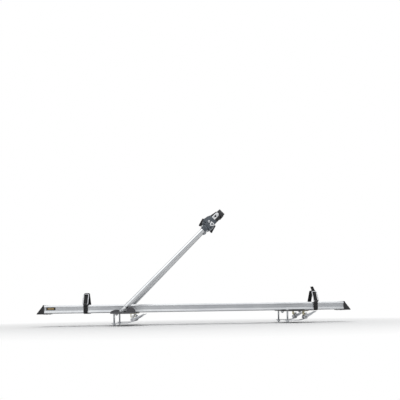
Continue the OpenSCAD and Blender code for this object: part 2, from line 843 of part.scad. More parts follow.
module jaw_plate() {
    half = (plate_w1 - plate_w0) / 2;
    middle = (plate_w1 + plate_w0) / 2;
    end_u = jaw_u1 - hole_gap - half;
    start_u = clamp_u - 6;
    hole = 9;
    color("white") arm_frame() along_y(-jaw_y - jaw_t - jaw_plate_t, jaw_plate_t) difference() {
        union() {
            translate([start_u, plate_w0]) square([end_u - start_u, 2 * half]);
            translate([end_u, middle]) circle(r = half);
        }
        translate([clamp_u + 8 - hole / 2, middle - hole / 2]) square(hole);
    }
}

module latch_plate() {
    latch_l = 18;
    u1 = clamp_u - tube_r + 1;
    color("white") arm_frame() along_y(-jaw_y - jaw_t - jaw_plate_t, jaw_plate_t) difference() {
        polygon([[u1, -1], [u1 + 1, -jaw_low + 3], [u1 - 5, -jaw_low + 1], [u1 - latch_l, -jaw_low / 2],
                 [u1 - latch_l, -jaw_low / 4], [u1 - 7, -1]]);
        polygon([[u1 - 4, -jaw_low / 4], [u1 - 4, -jaw_low + 6], [u1 - latch_l + 4, -jaw_low / 4 - 3]]);
    }
}

module jaw_pin() {
    reach = knuckle_half + ear_len + 1;
    color("silver") arm_frame() translate([hinge_u, -hinge_y, -reach]) {
        cylinder(h = 2 * reach, d = hinge_pin_d);
    }
}

module clamp_bolt() {
    head_y = -jaw_y - jaw_t - 0.4;
    color("silver") arm_frame() {
        rod_y(knob_u, head_y - jaw_bolt_head_h, knob_w, jaw_bolt_head_r, jaw_bolt_head_h);
        rod_y(knob_u, head_y - 1, knob_w, bolt_d / 2, knob_y0 + knob_t + 4 - head_y + 1);
    }
}

module clamp_knob() {
    wing_y = knob_y0 + 2.5;
    wing_t = knob_t - 5;
    end_u = (knob_r - knob_end_r) * cos(knob_spread);
    end_w = (knob_r - knob_end_r) * sin(knob_spread);
    color("#1e1e20") arm_frame() difference() {
        union() {
            rod_y(knob_u, knob_y0, knob_w, knob_hub_r, knob_t);
            translate([knob_u, 0, knob_w]) for (i = [0:1]) rotate([0, -knob_first_wing - 180 * i, 0]) {
                along_y(wing_y, wing_t) {
                    polygon([[-1, -knob_neck], [end_u, -end_w - knob_end_r], [end_u + knob_end_r, -end_w],
                             [end_u + knob_end_r, end_w], [end_u, end_w + knob_end_r], [-1, knob_neck]]);
                    for (side = [-1, 1]) translate([end_u, side * end_w]) circle(r = knob_end_r);
                }
            }
        }
        rod_y(knob_u, knob_y0 - 1, knob_w, bolt_d / 2 + fit_gap, knob_t + 2);
    }
}

// Wheel straps

// Angle of the outward normal of the edge that leaves corner i
function edge_normal(i) =
    let (a = strap_corners[i % 6], b = strap_corners[(i + 1) % 6])
    atan2(b[1] - a[1], b[0] - a[0]) - 90;

// Points of the strap's outline, r outside its corner points, with arc_steps steps at each corner
function strap_outline(r, arc_steps = 6) = [
    for (i = [0:5], k = [0:arc_steps])
        let (from = edge_normal(i + 5),
             turn = (edge_normal(i) - from + 2 * full_turn) % full_turn,
             angle = from + turn * k / arc_steps)
        strap_corners[i] + r * [cos(angle), sin(angle)]
];

module strap_loop(x) {
    along_x(x - strap_w / 2, strap_w) difference() {
        polygon(strap_outline(strap_r + strap_t));
        polygon(strap_outline(strap_r));
    }
}

module front_wheel_strap() {
    color("#242426") strap_loop(front_strap_x);
}

// The rear strap's free end stands up beside its buckle
module rear_wheel_strap() {
    top = strap_z2 + strap_r + strap_t;
    half = strap_w / 2 - 1;
    color("#242426") {
        strap_loop(rear_strap_x);
        along_y(-strap_ridge - strap_t / 2, strap_t) translate([rear_strap_x, top]) {
            polygon([[-half, -strap_t / 2], [half, -strap_t / 2], [half - tail_lean, tail_rise],
                     [-half - tail_lean + 3, tail_rise - 1]]);
        }
    }
}

// A rounded wire frame whose lower bar is on the keeper's axis
module buckle(x) {
    half = (buckle_w - wire_d) / 2;
    length = buckle_l - wire_d;
    color("lightgray") translate([x, buckle_y, buckle_z]) rotate([buckle_tilt, 0, 0]) {
        for (y = [0, length]) translate([-half, y, 0]) rotate([0, 90, 0]) cylinder(h = 2 * half, d = wire_d);
        for (dx = [-half, half]) {
            translate([dx, length, 0]) rotate([90, 0, 0]) cylinder(h = length, d = wire_d);
            for (y = [0, length]) translate([dx, y, 0]) sphere(d = wire_d);
        }
    }
}

// Holds the buckle's lower bar on the strap's outer face
module strap_keeper(x) {
    reach = -strap_side - strap_r - strap_t - buckle_y;
    width = wire_d + 2 * keeper_wall;
    color("#2a2a2c") along_x(x - keeper_half, 2 * keeper_half) translate([buckle_y, buckle_z]) difference() {
        union() {
            circle(d = width);
            translate([0, -width / 2]) square([reach, width]);
        }
        circle(d = wire_d + 2 * fit_gap);
    }
}

module front_buckle() { buckle(front_strap_x); }
module rear_buckle() { buckle(rear_strap_x); }
module front_strap_keeper() { strap_keeper(front_strap_x); }
module rear_strap_keeper() { strap_keeper(rear_strap_x); }

wheel_tray();
front_end_cap();
rear_end_cap();
end_cap_screws();
side_label();
base_plate();
front_saddle_pad();
near_pivot_block();
far_pivot_block();
block_screws();
pivot_bolts();
pivot_nuts();
front_tray_bolts();
front_tray_nuts();
front_near_band();
front_far_band();
front_near_lever();
front_far_lever();
front_clamp_pins();
front_clamp_hooks();
front_clamp_bolts();
front_clamp_nuts();
rear_cross_plate();
rear_saddle_pad();
rear_tray_bolts();
rear_tray_nuts();
rear_near_band();
rear_far_band();
rear_near_lever();
rear_far_lever();
rear_clamp_pins();
rear_clamp_hooks();
rear_clamp_bolts();
rear_clamp_nuts();
near_leg();
far_leg();
near_leg_lug();
far_leg_lug();
lug_rivets();
head_body();
far_jaw();
near_jaw();
near_jaw_pad();
far_jaw_pad();
near_jaw_hook();
far_jaw_hook();
jaw_plate();
latch_plate();
jaw_pin();
clamp_bolt();
clamp_knob();
leg_bolts();
front_wheel_strap();
rear_wheel_strap();
front_buckle();
rear_buckle();
front_strap_keeper();
rear_strap_keeper();
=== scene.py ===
"""Roof mounted bike carrier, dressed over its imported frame.

X runs along the tray to the rear, Y across it with the near side negative, and Z up. Sizes and places are
in millimetres, and MM brings them to Blender's metres. The camera, the lamps, the floor and the patterns of
the finishes are in metres.
"""
import json
import math
import bmesh
import bpy
from mathutils import Matrix, Vector

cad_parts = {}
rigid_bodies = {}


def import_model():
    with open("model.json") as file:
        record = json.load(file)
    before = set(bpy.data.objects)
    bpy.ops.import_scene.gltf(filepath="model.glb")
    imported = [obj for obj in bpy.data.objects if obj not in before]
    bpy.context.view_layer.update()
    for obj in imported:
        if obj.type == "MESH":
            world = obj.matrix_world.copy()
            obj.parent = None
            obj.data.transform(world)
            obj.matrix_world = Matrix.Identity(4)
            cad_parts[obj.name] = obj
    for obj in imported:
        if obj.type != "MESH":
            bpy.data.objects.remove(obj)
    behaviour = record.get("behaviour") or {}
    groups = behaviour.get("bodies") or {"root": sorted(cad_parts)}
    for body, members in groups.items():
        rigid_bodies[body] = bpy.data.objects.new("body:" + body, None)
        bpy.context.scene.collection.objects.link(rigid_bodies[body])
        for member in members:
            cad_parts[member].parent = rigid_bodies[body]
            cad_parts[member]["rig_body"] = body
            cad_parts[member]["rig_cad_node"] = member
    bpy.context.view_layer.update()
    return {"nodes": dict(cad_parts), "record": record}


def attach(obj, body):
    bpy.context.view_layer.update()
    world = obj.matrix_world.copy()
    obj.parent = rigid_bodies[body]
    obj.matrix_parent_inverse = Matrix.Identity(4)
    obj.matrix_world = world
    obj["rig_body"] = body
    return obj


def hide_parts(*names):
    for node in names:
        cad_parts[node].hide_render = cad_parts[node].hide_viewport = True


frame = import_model()
cad = frame["nodes"]
record = frame["record"]
body_of = {node: body for body, members in record["behaviour"]["bodies"].items() for node in members}
slot_of = {row["node"]: row["material_slot"] for row in record["subparts"]}
MM = 0.001


# Places that the frame gives


def in_mm(place):
    """A place in metres, as millimetres."""
    return [round(value / MM, 3) for value in place]


def shift(x, y, z):
    """A move in millimetres."""
    return Matrix.Translation((x * MM, y * MM, z * MM))


joint_at = {row["name"]: in_mm(row["pos_m"]) for row in record["behaviour"]["joints"] if "pos_m" in row}
mount_at = {row["name"]: in_mm(row["pos_m"]) for row in record["mounts"]}
tray_places = [corner.co.x for corner in cad["wheel_tray"].data.vertices]
TRAY_FRONT, TRAY_REAR = in_mm((min(tray_places), max(tray_places)))
FRONT_SADDLE = mount_at["front_saddle"][0]
REAR_SADDLE = mount_at["rear_saddle"][0]
FRONT_CLAMP_Y = joint_at["front_far_lever_swing"][1]
REAR_CLAMP_Y = joint_at["rear_far_lever_swing"][1]
FRONT_STRAP, BUCKLE_Y, BUCKLE_Z = joint_at["front_buckle_swing"]
REAR_STRAP = joint_at["rear_buckle_swing"][0]
PIVOT_X, _, PIVOT_Z = joint_at["arm_fold"]

# The arm: its legs stand at PIVOT_Y from the middle and end at LEG_TOP_Y, LEG_TOP further along the arm
ARM_TILT = math.radians(45)
PIVOT_Y = 100
LEG_TOP_Y = 34
LEG_TOP = 525
LEG_SPLAY = math.atan((PIVOT_Y - LEG_TOP_Y) / LEG_TOP)
ARM = shift(PIVOT_X, 0, PIVOT_Z) @ Matrix.Rotation(-ARM_TILT, 4, "Y")
HEAD = ARM @ shift(LEG_TOP, 0, 0)


def leg_frame(side):
    """Stands a shape drawn along X on one leg's pivot; side is -1 near, 1 far."""
    return ARM @ shift(0, side * PIVOT_Y, 0) @ Matrix.Rotation(-side * LEG_SPLAY, 4, "Z")


def leg_y(u):
    """How far a leg's axis is from the middle, at a place u along the arm from the legs' tops."""
    return PIVOT_Y - (LEG_TOP + u) * (PIVOT_Y - LEG_TOP_Y) / LEG_TOP


def from_leg_tops(joint):
    """A joint's place along the arm from the legs' tops, across it, and up from it."""
    place = HEAD.inverted() @ (Vector(joint_at[joint]) * MM)
    return [round(value / MM, 1) for value in place]


BOLT_U, _, BOLT_W = from_leg_tops("knob_turn")
PIN_U, PIN_Y, _ = from_leg_tops("near_jaw_swing")

# Ways to stand a shape: a flat outline, or one turned round Z
UPRIGHT = Matrix.Rotation(math.pi / 2, 4, "X")
ACROSS = Matrix.Rotation(-math.pi / 2, 4, "X")
UPSIDE_DOWN = Matrix.Rotation(math.pi, 4, "X")
LYING_ON_X = Matrix.Rotation(math.pi / 2, 4, "Y")
HALF_TURN = Matrix.Rotation(math.pi, 4, "Z")
MIRROR = Matrix.Scale(-1, 4, (0, 1, 0))
ALONG_X = Matrix(((0, 0, 1, 0), (1, 0, 0, 0), (0, 1, 0, 0), (0, 0, 0, 1)))


# Camera: level, with the frame shifted up, as the photograph was taken

CAMERA_PLACE = (0.196, -1.903, 0.011)
CAMERA_AIM = math.radians(4.325)
CAMERA_LEAN = math.radians(-0.87)
eye = bpy.data.cameras.new("camera")
eye.sensor_width = 36.0
eye.sensor_fit = "HORIZONTAL"
eye.lens = 37.1
eye.shift_y = 0.2755
eye.clip_start = 0.05
camera = bpy.data.objects.new("camera", eye)
bpy.context.scene.collection.objects.link(camera)
camera.matrix_world = (Matrix.Translation(CAMERA_PLACE) @ Matrix.Rotation(-CAMERA_AIM, 4, "Z")
                       @ Matrix.Rotation(math.pi / 2, 4, "X") @ Matrix.Rotation(CAMERA_LEAN, 4, "Z"))
bpy.context.scene.camera = camera
bpy.context.scene.view_settings.view_transform = "Standard"


# Materials


def new_finish(name, colour, rough, metal=0.0):
    """A material with its shader, and the object's own coordinates in metres."""
    finish = bpy.data.materials.new(name)
    finish.use_nodes = True
    tree = finish.node_tree
    tree.nodes.clear()
    end = tree.nodes.new("ShaderNodeOutputMaterial")
    skin = tree.nodes.new("ShaderNodeBsdfPrincipled")
    tree.links.new(skin.outputs["BSDF"], end.inputs["Surface"])
    skin.inputs["Base Color"].default_value = (*colour, 1)
    skin.inputs["Roughness"].default_value = rough
    skin.inputs["Metallic"].default_value = metal
    where = tree.nodes.new("ShaderNodeTexCoord")
    return finish, tree, skin, where.outputs["Object"]


def stretched(tree, where, scale, turn):
    """Coordinates turned, then scaled along each axis."""
    aligned = tree.nodes.new("ShaderNodeMapping")
    aligned.vector_type = "TEXTURE"
    aligned.inputs["Rotation"].default_value = turn
    tree.links.new(where, aligned.inputs["Vector"])
    scaled = tree.nodes.new("ShaderNodeMapping")
    scaled.inputs["Scale"].default_value = scale
    tree.links.new(aligned.outputs["Vector"], scaled.inputs["Vector"])
    return scaled.outputs["Vector"]


def mottle(tree, where, scale, detail, rough=0.55):
    """Noise from 0 to 1."""
    noise = tree.nodes.new("ShaderNodeTexNoise")
    noise.inputs["Scale"].default_value = scale
    noise.inputs["Detail"].default_value = detail
    noise.inputs["Roughness"].default_value = rough
    tree.links.new(where, noise.inputs["Vector"])
    return noise.outputs["Fac"]


def spread(tree, value, low, high, from_low=0.3, from_high=0.7):
    """Maps a value, by default noise, to a range."""
    ranged = tree.nodes.new("ShaderNodeMapRange")
    ranged.inputs["From Min"].default_value = from_low
    ranged.inputs["From Max"].default_value = from_high
    ranged.inputs["To Min"].default_value = low
    ranged.inputs["To Max"].default_value = high
    tree.links.new(value, ranged.inputs["Value"])
    return ranged.outputs["Result"]


def tint(tree, value, *stops):
    """A colour ramp: each stop is (position, colour)."""
    ramp = tree.nodes.new("ShaderNodeValToRGB")
    marks = ramp.color_ramp.elements
    while len(marks) < len(stops):
        marks.new(0.5)
    for mark, (position, colour) in zip(marks, stops):
        mark.position = position
        mark.color = (*colour, 1)
    tree.links.new(value, ramp.inputs["Fac"])
    return ramp.outputs["Color"]


def blended(tree, share, first, second):
    """Mixes two colours by a share. The second is a plain colour."""
    mix = tree.nodes.new("ShaderNodeMix")
    mix.data_type = "RGBA"
    tree.links.new(share, mix.inputs[0])
    tree.links.new(first, mix.inputs[6])
    mix.inputs[7].default_value = (*second, 1)
    return mix.outputs[2]


def combined(tree, operation, first, second):
    """One value worked out from two."""
    step = tree.nodes.new("ShaderNodeMath")
    step.operation = operation
    tree.links.new(first, step.inputs[0])
    tree.links.new(second, step.inputs[1])
    return step.outputs[0]


def layered(tree, share, first, second):
    """Mixes two shaders by a share."""
    mix = tree.nodes.new("ShaderNodeMixShader")
    tree.links.new(share, mix.inputs["Fac"])
    tree.links.new(first, mix.inputs[1])
    tree.links.new(second, mix.inputs[2])
    return mix.outputs[0]


def raised(tree, skin, height, strength, distance):
    """Bump from a height value."""
    bump = tree.nodes.new("ShaderNodeBump")
    bump.inputs["Strength"].default_value = strength
    bump.inputs["Distance"].default_value = distance
    tree.links.new(height, bump.inputs["Height"])
    tree.links.new(bump.outputs["Normal"], skin.inputs["Normal"])


def edge_share(tree):
    """Rises to 1 on rounded outer edges, for wear."""
    surface = tree.nodes.new("ShaderNodeNewGeometry")
    return spread(tree, surface.outputs["Pointiness"], 0, 1, 0.505, 0.56)


def drawn_metal(name, colour, dark, rough, along, lines=700.0, cloud=14.0, groove=0.14, contrast=1.0):
    """Extruded or drawn metal: fine lines along the piece, cloudy anodising and a few darker streaks."""
    finish, tree, skin, where = new_finish(name, colour, rough, 1.0)
    scratches = mottle(tree, stretched(tree, where, (3.0, lines, lines), along), 1.0, 4.0)
    streaks = mottle(tree, stretched(tree, where, (1.2, 90.0, 90.0), along), 1.0, 2.0)
    clouds = mottle(tree, where, cloud, 4.0)
    lit = tuple(min(1.0, c * 1.05) for c in colour)
    tone = tint(tree, clouds, (0.3, dark), (0.62, colour))
    tone = blended(tree, spread(tree, scratches, 0.0, 0.55 * contrast), tone, lit)
    tone = blended(tree, spread(tree, streaks, 0.0, 0.35, 0.52, 0.75), tone, dark)
    sheen = spread(tree, scratches, rough - 0.07 * contrast, rough + 0.09 * contrast)
    tree.links.new(tone, skin.inputs["Base Color"])
    tree.links.new(sheen, skin.inputs["Roughness"])
    raised(tree, skin, scratches, groove, 0.00012)
    return finish


def plated_metal(name, bright, dull, rough, cell=260.0):
    """Zinc plate: small crystals, cloudy tone and fine scuffs."""
    finish, tree, skin, where = new_finish(name, bright, rough, 1.0)
    cells = tree.nodes.new("ShaderNodeTexVoronoi")
    cells.inputs["Scale"].default_value = cell
    tree.links.new(where, cells.inputs["Vector"])
    clouds = mottle(tree, where, 55.0, 5.0)
    scuffs = mottle(tree, stretched(tree, where, (900, 160, 60), (0.4, 0.7, 0.2)), 1.0, 3.0)
    grain = spread(tree, cells.outputs["Distance"], 0.0, 0.25, 0.0, 0.9)
    tone = tint(tree, clouds, (0.3, dull), (0.66, bright))
    tone = blended(tree, grain, tone, tuple(c * 0.82 for c in bright))
    tree.links.new(tone, skin.inputs["Base Color"])
    tree.links.new(spread(tree, scuffs, rough - 0.08, rough + 0.14), skin.inputs["Roughness"])
    raised(tree, skin, scuffs, 0.05, 0.0001)
    return finish


def moulding(name, colour, worn, rough, grain=1500.0, depth=0.00016, strength=0.35, shine=0.5):
    """Moulded plastic or rubber: leathery grain, soft tone changes, and edges rubbed paler."""
    finish, tree, skin, where = new_finish(name, colour, rough)
    skin.inputs["Specular IOR Level"].default_value = shine
    fine = mottle(tree, where, grain, 4.0, 0.6)
    broad = mottle(tree, where, 38.0, 4.0)
    patchy = spread(tree, mottle(tree, where, 210.0, 4.0), 0.1, 0.8)
    rubbed = combined(tree, "MULTIPLY", edge_share(tree), patchy)
    tone = tint(tree, broad, (0.32, tuple(c * 0.78 for c in colour)), (0.68, colour))
    tone = blended(tree, rubbed, tone, worn)
    tree.links.new(tone, skin.inputs["Base Color"])
    tree.links.new(spread(tree, broad, rough - 0.06, rough + 0.1), skin.inputs["Roughness"])
    raised(tree, skin, fine, strength, depth)
    return finish


def tube_finish(side):
    """A leg's bright drawn tube, with its lines along that leg."""
    return dict(colour=(0.60, 0.61, 0.62), dark=(0.53, 0.54, 0.55), rough=0.2,
                along=leg_frame(side).to_euler("XYZ"), lines=260.0, cloud=9.0, groove=0.02, contrast=0.2)


DRAWN = {
    "tray_aluminium": dict(colour=(0.56, 0.57, 0.58), dark=(0.47, 0.48, 0.50), rough=0.34, along=(0, 0, 0)),
    "leg_aluminium": dict(colour=(0.62, 0.63, 0.64), dark=(0.54, 0.55, 0.56), rough=0.3,
                          along=(0, -ARM_TILT, 0)),
    "near_leg_tube": tube_finish(-1),
    "far_leg_tube": tube_finish(1),
}
PLATED = {
    "zinc_steel": dict(bright=(0.60, 0.61, 0.63), dull=(0.47, 0.48, 0.50), rough=0.32),
    "yellow_zinc": dict(bright=(0.62, 0.55, 0.34), dull=(0.52, 0.49, 0.36), rough=0.34),
    "pin_steel": dict(bright=(0.50, 0.50, 0.51), dull=(0.38, 0.38, 0.40), rough=0.3),
    "fasteners": dict(bright=(0.60, 0.61, 0.62), dull=(0.46, 0.47, 0.49), rough=0.28, cell=420.0),
    "bright_plate": dict(bright=(0.90, 0.90, 0.90), dull=(0.80, 0.80, 0.81), rough=0.22, cell=500.0),
}
MOULDED = {
    "black_plastic": dict(colour=(0.018, 0.018, 0.020), worn=(0.065, 0.065, 0.068), rough=0.46, shine=0.38),
    "block_plastic": dict(colour=(0.082, 0.080, 0.090), worn=(0.15, 0.15, 0.16), rough=0.5),
    "slate_plastic": dict(colour=(0.072, 0.086, 0.105), worn=(0.15, 0.17, 0.19), rough=0.44),
    "black_steel": dict(colour=(0.045, 0.045, 0.048), worn=(0.13, 0.13, 0.13), rough=0.42,
                        grain=420.0, depth=0.0001, strength=0.25),
    "rubber": dict(colour=(0.018, 0.018, 0.019), worn=(0.05, 0.05, 0.05), rough=0.72,
                   grain=900.0, depth=0.0002, strength=0.5, shine=0.3),
    "strap_rubber": dict(colour=(0.012, 0.012, 0.013), worn=(0.045, 0.045, 0.047), rough=0.6,
                         grain=1100.0, shine=0.24),
    "label": dict(colour=(0.010, 0.009, 0.008), worn=(0.03, 0.029, 0.027), rough=0.38,
                  grain=260.0, depth=0.00003, strength=0.15, shine=0.25),
    "label_band": dict(colour=(0.44, 0.29, 0.10), worn=(0.5, 0.40, 0.24), rough=0.36,
                       grain=260.0, depth=0.00003, strength=0.15, shine=0.3),
}
FINISH = {name: drawn_metal(name, **look) for name, look in DRAWN.items()}
FINISH.update({name: plated_metal(name, **look) for name, look in PLATED.items()})
FINISH.update({name: moulding(name, **look) for name, look in MOULDED.items()})

for node in cad:
    cad[node].data.materials.clear()
    cad[node].data.materials.append(FINISH[slot_of[node]])


# Hand tools

MERGE = 0.001 * MM
SLIVER = 0.004 * MM


def put_down():
    """Leaves edit mode with nothing selected."""
    if bpy.context.object and bpy.context.object.mode != "OBJECT":
        bpy.ops.object.mode_set(mode="OBJECT")
    bpy.ops.object.select_all(action="DESELECT")


def take(piece):
    """Makes one piece the only one selected."""
    put_down()
    piece.select_set(True)
    bpy.context.view_layer.objects.active = piece


def open_up(piece):
    """Takes a piece into edit mode, with all of it selected."""
    take(piece)
    bpy.ops.object.mode_set(mode="EDIT")
    bpy.ops.mesh.select_mode(type="VERT")
    bpy.ops.mesh.select_all(action="SELECT")


def close_up():
    """Turns the faces of the open piece outwards and leaves edit mode."""
    bpy.ops.mesh.select_all(action="SELECT")
    bpy.ops.mesh.normals_make_consistent(inside=False)
    bpy.ops.object.mode_set(mode="OBJECT")


def ring(points, fill="NOTHING"):
    """A closed outline through the points, left open in edit mode."""
    put_down()
    bpy.ops.mesh.primitive_circle_add(vertices=len(points), radius=1, fill_type=fill)
    piece = bpy.context.object
    for corner, point in zip(piece.data.vertices, points):
        corner.co = [value * MM for value in point]
    open_up(piece)
    return piece


def slab(outline, low, high, stand=Matrix()):
    """A flat outline pulled up from low to high, then stood in its place."""
    piece = ring([(x, y, low) for x, y in outline], "NGON")
    bpy.ops.mesh.extrude_region_move(TRANSFORM_OT_translate={"value": (0, 0, (high - low) * MM)})
    close_up()
    piece.data.transform(stand)
    return piece


def side_slab(outline, y0, y1, stand=Matrix()):
    """A slab whose outline is drawn in X and Z, between two places across the tray."""
    return slab(outline, -y1, -y0, stand @ UPRIGHT)


def block(low, high):
    """A box between two corners."""
    put_down()
    bpy.ops.mesh.primitive_cube_add(size=1)
    piece = bpy.context.object
    piece.scale = [(b - a) * MM for a, b in zip(low, high)]
    piece.location = [(a + b) / 2 * MM for a, b in zip(low, high)]
    bpy.ops.object.transform_apply(location=True, rotation=True, scale=True)
    return piece


def rod(radius, start, end, sides=48):
    """A round bar between two points, or with 6 sides a hexagon bar."""
    put_down()
    a, b = Vector(start) * MM, Vector(end) * MM
    bpy.ops.mesh.primitive_cylinder_add(vertices=sides, radius=radius * MM, depth=(b - a).length)
    piece = bpy.context.object
    piece.location = (a + b) / 2
    piece.rotation_euler = (b - a).to_track_quat("Z", "Y").to_euler()
    bpy.ops.object.transform_apply(location=True, rotation=True, scale=True)
    return piece


def turned(profile, steps=32):
    """A shape turned on a lathe round Z: profile points are (radius, height)."""
    piece = ring([(r, 0, z) for r, z in profile])
    bpy.ops.mesh.spin(steps=steps, angle=2 * math.pi, center=(0, 0, 0), axis=(0, 0, 1))
    bpy.ops.mesh.select_all(action="SELECT")
    bpy.ops.mesh.remove_doubles(threshold=MERGE)
    bpy.ops.mesh.dissolve_degenerate(threshold=MERGE)
    close_up()
    return piece


def arc(x, y, r, start, end, steps):
    """Points on an arc, with angles in degrees."""
    angles = [math.radians(start + (end - start) * i / steps) for i in range(steps + 1)]
    return [(x + r * math.cos(a), y + r * math.sin(a)) for a in angles]


def rounded(x0, y0, x1, y1, r):
    """Outline of a rectangle with round corners."""
    steps = 5
    return (arc(x1 - r, y0 + r, r, -90, 0, steps) + arc(x1 - r, y1 - r, r, 0, 90, steps)
            + arc(x0 + r, y1 - r, r, 90, 180, steps) + arc(x0 + r, y0 + r, r, 180, 270, steps))


def pick_faces(piece, test):
    """Selects the faces whose middle, in millimetres, and normal pass the test, in edit mode."""
    open_up(piece)
    bpy.ops.mesh.select_mode(type="FACE")
    bpy.ops.mesh.select_all(action="DESELECT")
    shell = bmesh.from_edit_mesh(piece.data)
    for face in shell.faces:
        face.select_set(test(face.calc_center_median() / MM, face.normal))
    bmesh.update_edit_mesh(piece.data)


def press_panel(piece, test, margin, depth, wall=0.8):
    """Presses a panel with sloping walls into the faces that pass the test."""
    pick_faces(piece, test)
    bpy.ops.mesh.inset(thickness=margin * MM)
    bpy.ops.mesh.inset(thickness=wall * MM, depth=-depth * MM)
    bpy.ops.object.mode_set(mode="OBJECT")


def round_edges(piece, width, steps=3, angle=32):
    """Rounds every edge that is sharper than the angle."""
    take(piece)
    edge = piece.modifiers.new("edge", "BEVEL")
    edge.width = width * MM
    edge.segments = steps
    edge.limit_method = "ANGLE"
    edge.angle_limit = math.radians(angle)
    bpy.ops.object.modifier_apply(modifier="edge")
    return piece


def cut(piece, *tools, keep="DIFFERENCE"):
    """Cuts the tools out of a piece, or keeps only what they share with it."""
    for tool in tools:
        take(piece)
        trim = piece.modifiers.new("cut", "BOOLEAN")
        trim.operation = keep
        trim.solver = "EXACT"
        trim.object = tool
        bpy.ops.object.modifier_apply(modifier="cut")
        bpy.data.objects.remove(tool)
    return piece


def join(*pieces):
    """Joins pieces into the first one."""
    put_down()
    for piece in pieces:
        piece.select_set(True)
    bpy.context.view_layer.objects.active = pieces[0]
    bpy.ops.object.join()
    return bpy.context.object


def twin(piece, move):
    """A copy with its own mesh, moved; a mirrored copy gets its faces turned outwards again."""
    take(piece)
    bpy.ops.object.duplicate()
    other = bpy.context.object
    other.data.transform(move)
    if move.determinant() < 0:
        other.data.flip_normals()
    return other


def copies(piece, *moves):
    """Puts a copy at each move, all in one piece, and uses up the pattern."""
    placed = [twin(piece, move) for move in moves]
    bpy.data.objects.remove(piece)
    return join(*placed)


def add_to(node, piece, name, finish=None, smooth=32):
    """Finishes a piece like a node: clean mesh, smooth faces, material, slot and the body it rides on."""
    open_up(piece)
    bpy.ops.mesh.remove_doubles(threshold=MERGE)
    bpy.ops.mesh.dissolve_degenerate(threshold=SLIVER)
    bpy.ops.mesh.delete_loose(use_verts=True, use_edges=True)
    bpy.ops.object.mode_set(mode="OBJECT")
    bpy.ops.object.shade_smooth_by_angle(angle=math.radians(smooth))
    piece.name = name
    piece.data.name = name
    piece.data.materials.clear()
    piece.data.materials.append(FINISH[finish or slot_of[node]])
    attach(piece, body_of[node])


def fit(piece, name, *stands_for, finish=None, smooth=32):
    """Finishes a piece and puts it in place of the nodes it stands for."""
    add_to(stands_for[0], piece, name, finish, smooth)
    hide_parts(*stands_for)


def soften(node, name, width, steps=2, angle=28, smooth=32, reshape=None):
    """Puts a copy of a CAD node with rounded edges in its place, after a last touch to its shape."""
    take(cad[node])
    bpy.ops.object.duplicate()
    piece = bpy.context.object
    piece.parent = None
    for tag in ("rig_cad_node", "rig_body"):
        if tag in piece:
            del piece[tag]
    open_up(piece)
    bpy.ops.mesh.remove_doubles(threshold=MERGE)
    bpy.ops.mesh.dissolve_limited(angle_limit=math.radians(0.5))
    bpy.ops.object.mode_set(mode="OBJECT")
    if reshape:
        reshape(piece)
    round_edges(piece, width, steps, angle)
    fit(piece, name, node, smooth=smooth)


# Wheel tray, end caps and label

WEB_Y = 38.5
LIP_FOOT_LOW = 36
LIP_FOOT_HIGH = 37.5
LIP_DROP = 2.5
CAP_LOW = 2.6
CAP_HIGH = 43
CAP_LENGTH = 32
CAP_HALF = 42.5
CAP_RIBS = (-26, -13, 0, 13, 26)
FILM_Y = 38.85


def deepen_lips(tray):
    """Lowers the foot of each outer lip, so that its bright face is taller."""
    for corner in tray.data.vertices:
        _, y, z = corner.co / MM
        if abs(y) > WEB_Y - 0.1 and LIP_FOOT_LOW - 0.1 < z < LIP_FOOT_HIGH + 0.1:
            corner.co.z -= LIP_DROP * MM


def end_cap():
    """A hollow-faced wedge with a collar, ribs, a tongue under the tray and a plug in its channel."""
    side = [(0, CAP_LOW), (0, CAP_HIGH), (-3, CAP_HIGH), (-CAP_LENGTH, 5.6), (-CAP_LENGTH, CAP_LOW)]
    wedge = side_slab(side, -CAP_HALF, CAP_HALF)
    press_panel(wedge, lambda at, normal: normal.x < -0.5 and normal.z > 0.5, margin=6, depth=1.6, wall=1.4)
    round_edges(wedge, 1.5, 4, 25)
    collar = round_edges(slab(rounded(-43.2, 1.9, 43.2, 43.7, 5), -5.5, -0.1, ALONG_X), 1.2, 3, 40)
    rib_side = [(-7, 36.0), (-5, 36.0), (-5, 40.4), (-27, 12.0), (-27, 9.6)]
    ribs = [round_edges(side_slab(rib_side, y - 1.2, y + 1.2), 0.5, 2) for y in CAP_RIBS]
    tongue = round_edges(block((-2, -38, CAP_LOW), (14, 38, 5)), 0.7)
    plug = round_edges(block((-2, -35.8, 20), (12, 35.8, 23)), 0.7)
    return join(wedge, collar, tongue, plug, *ribs)


soften("wheel_tray", "tray_extrusion", 0.4, angle=15, smooth=15, reshape=deepen_lips)

front_cap = end_cap()
rear_cap = twin(front_cap, shift(TRAY_REAR, 0, 0) @ HALF_TURN)
front_cap.data.transform(shift(TRAY_FRONT, 0, 0))
fit(front_cap, "front_cap_moulding", "front_end_cap")
fit(rear_cap, "rear_cap_moulding", "rear_end_cap")

film = slab(rounded(TRAY_FRONT + 9, 20.6, TRAY_FRONT + 49, 33.2, 1.6), WEB_Y, FILM_Y, UPRIGHT)
fit(round_edges(film, 0.1, 1), "label_film", "side_label")
stripe = rounded(TRAY_FRONT + 15, 23.8, TRAY_FRONT + 42, 30.0, 1.0)
band = slab(stripe, FILM_Y - 0.01, FILM_Y + 0.07, UPRIGHT)
add_to("side_label", band, "label_band", "label_band")


# Cross plates and saddle pads

PAD_HALF_X = 28
PAD_RIB = 5
PAD_GROOVE = 0.7


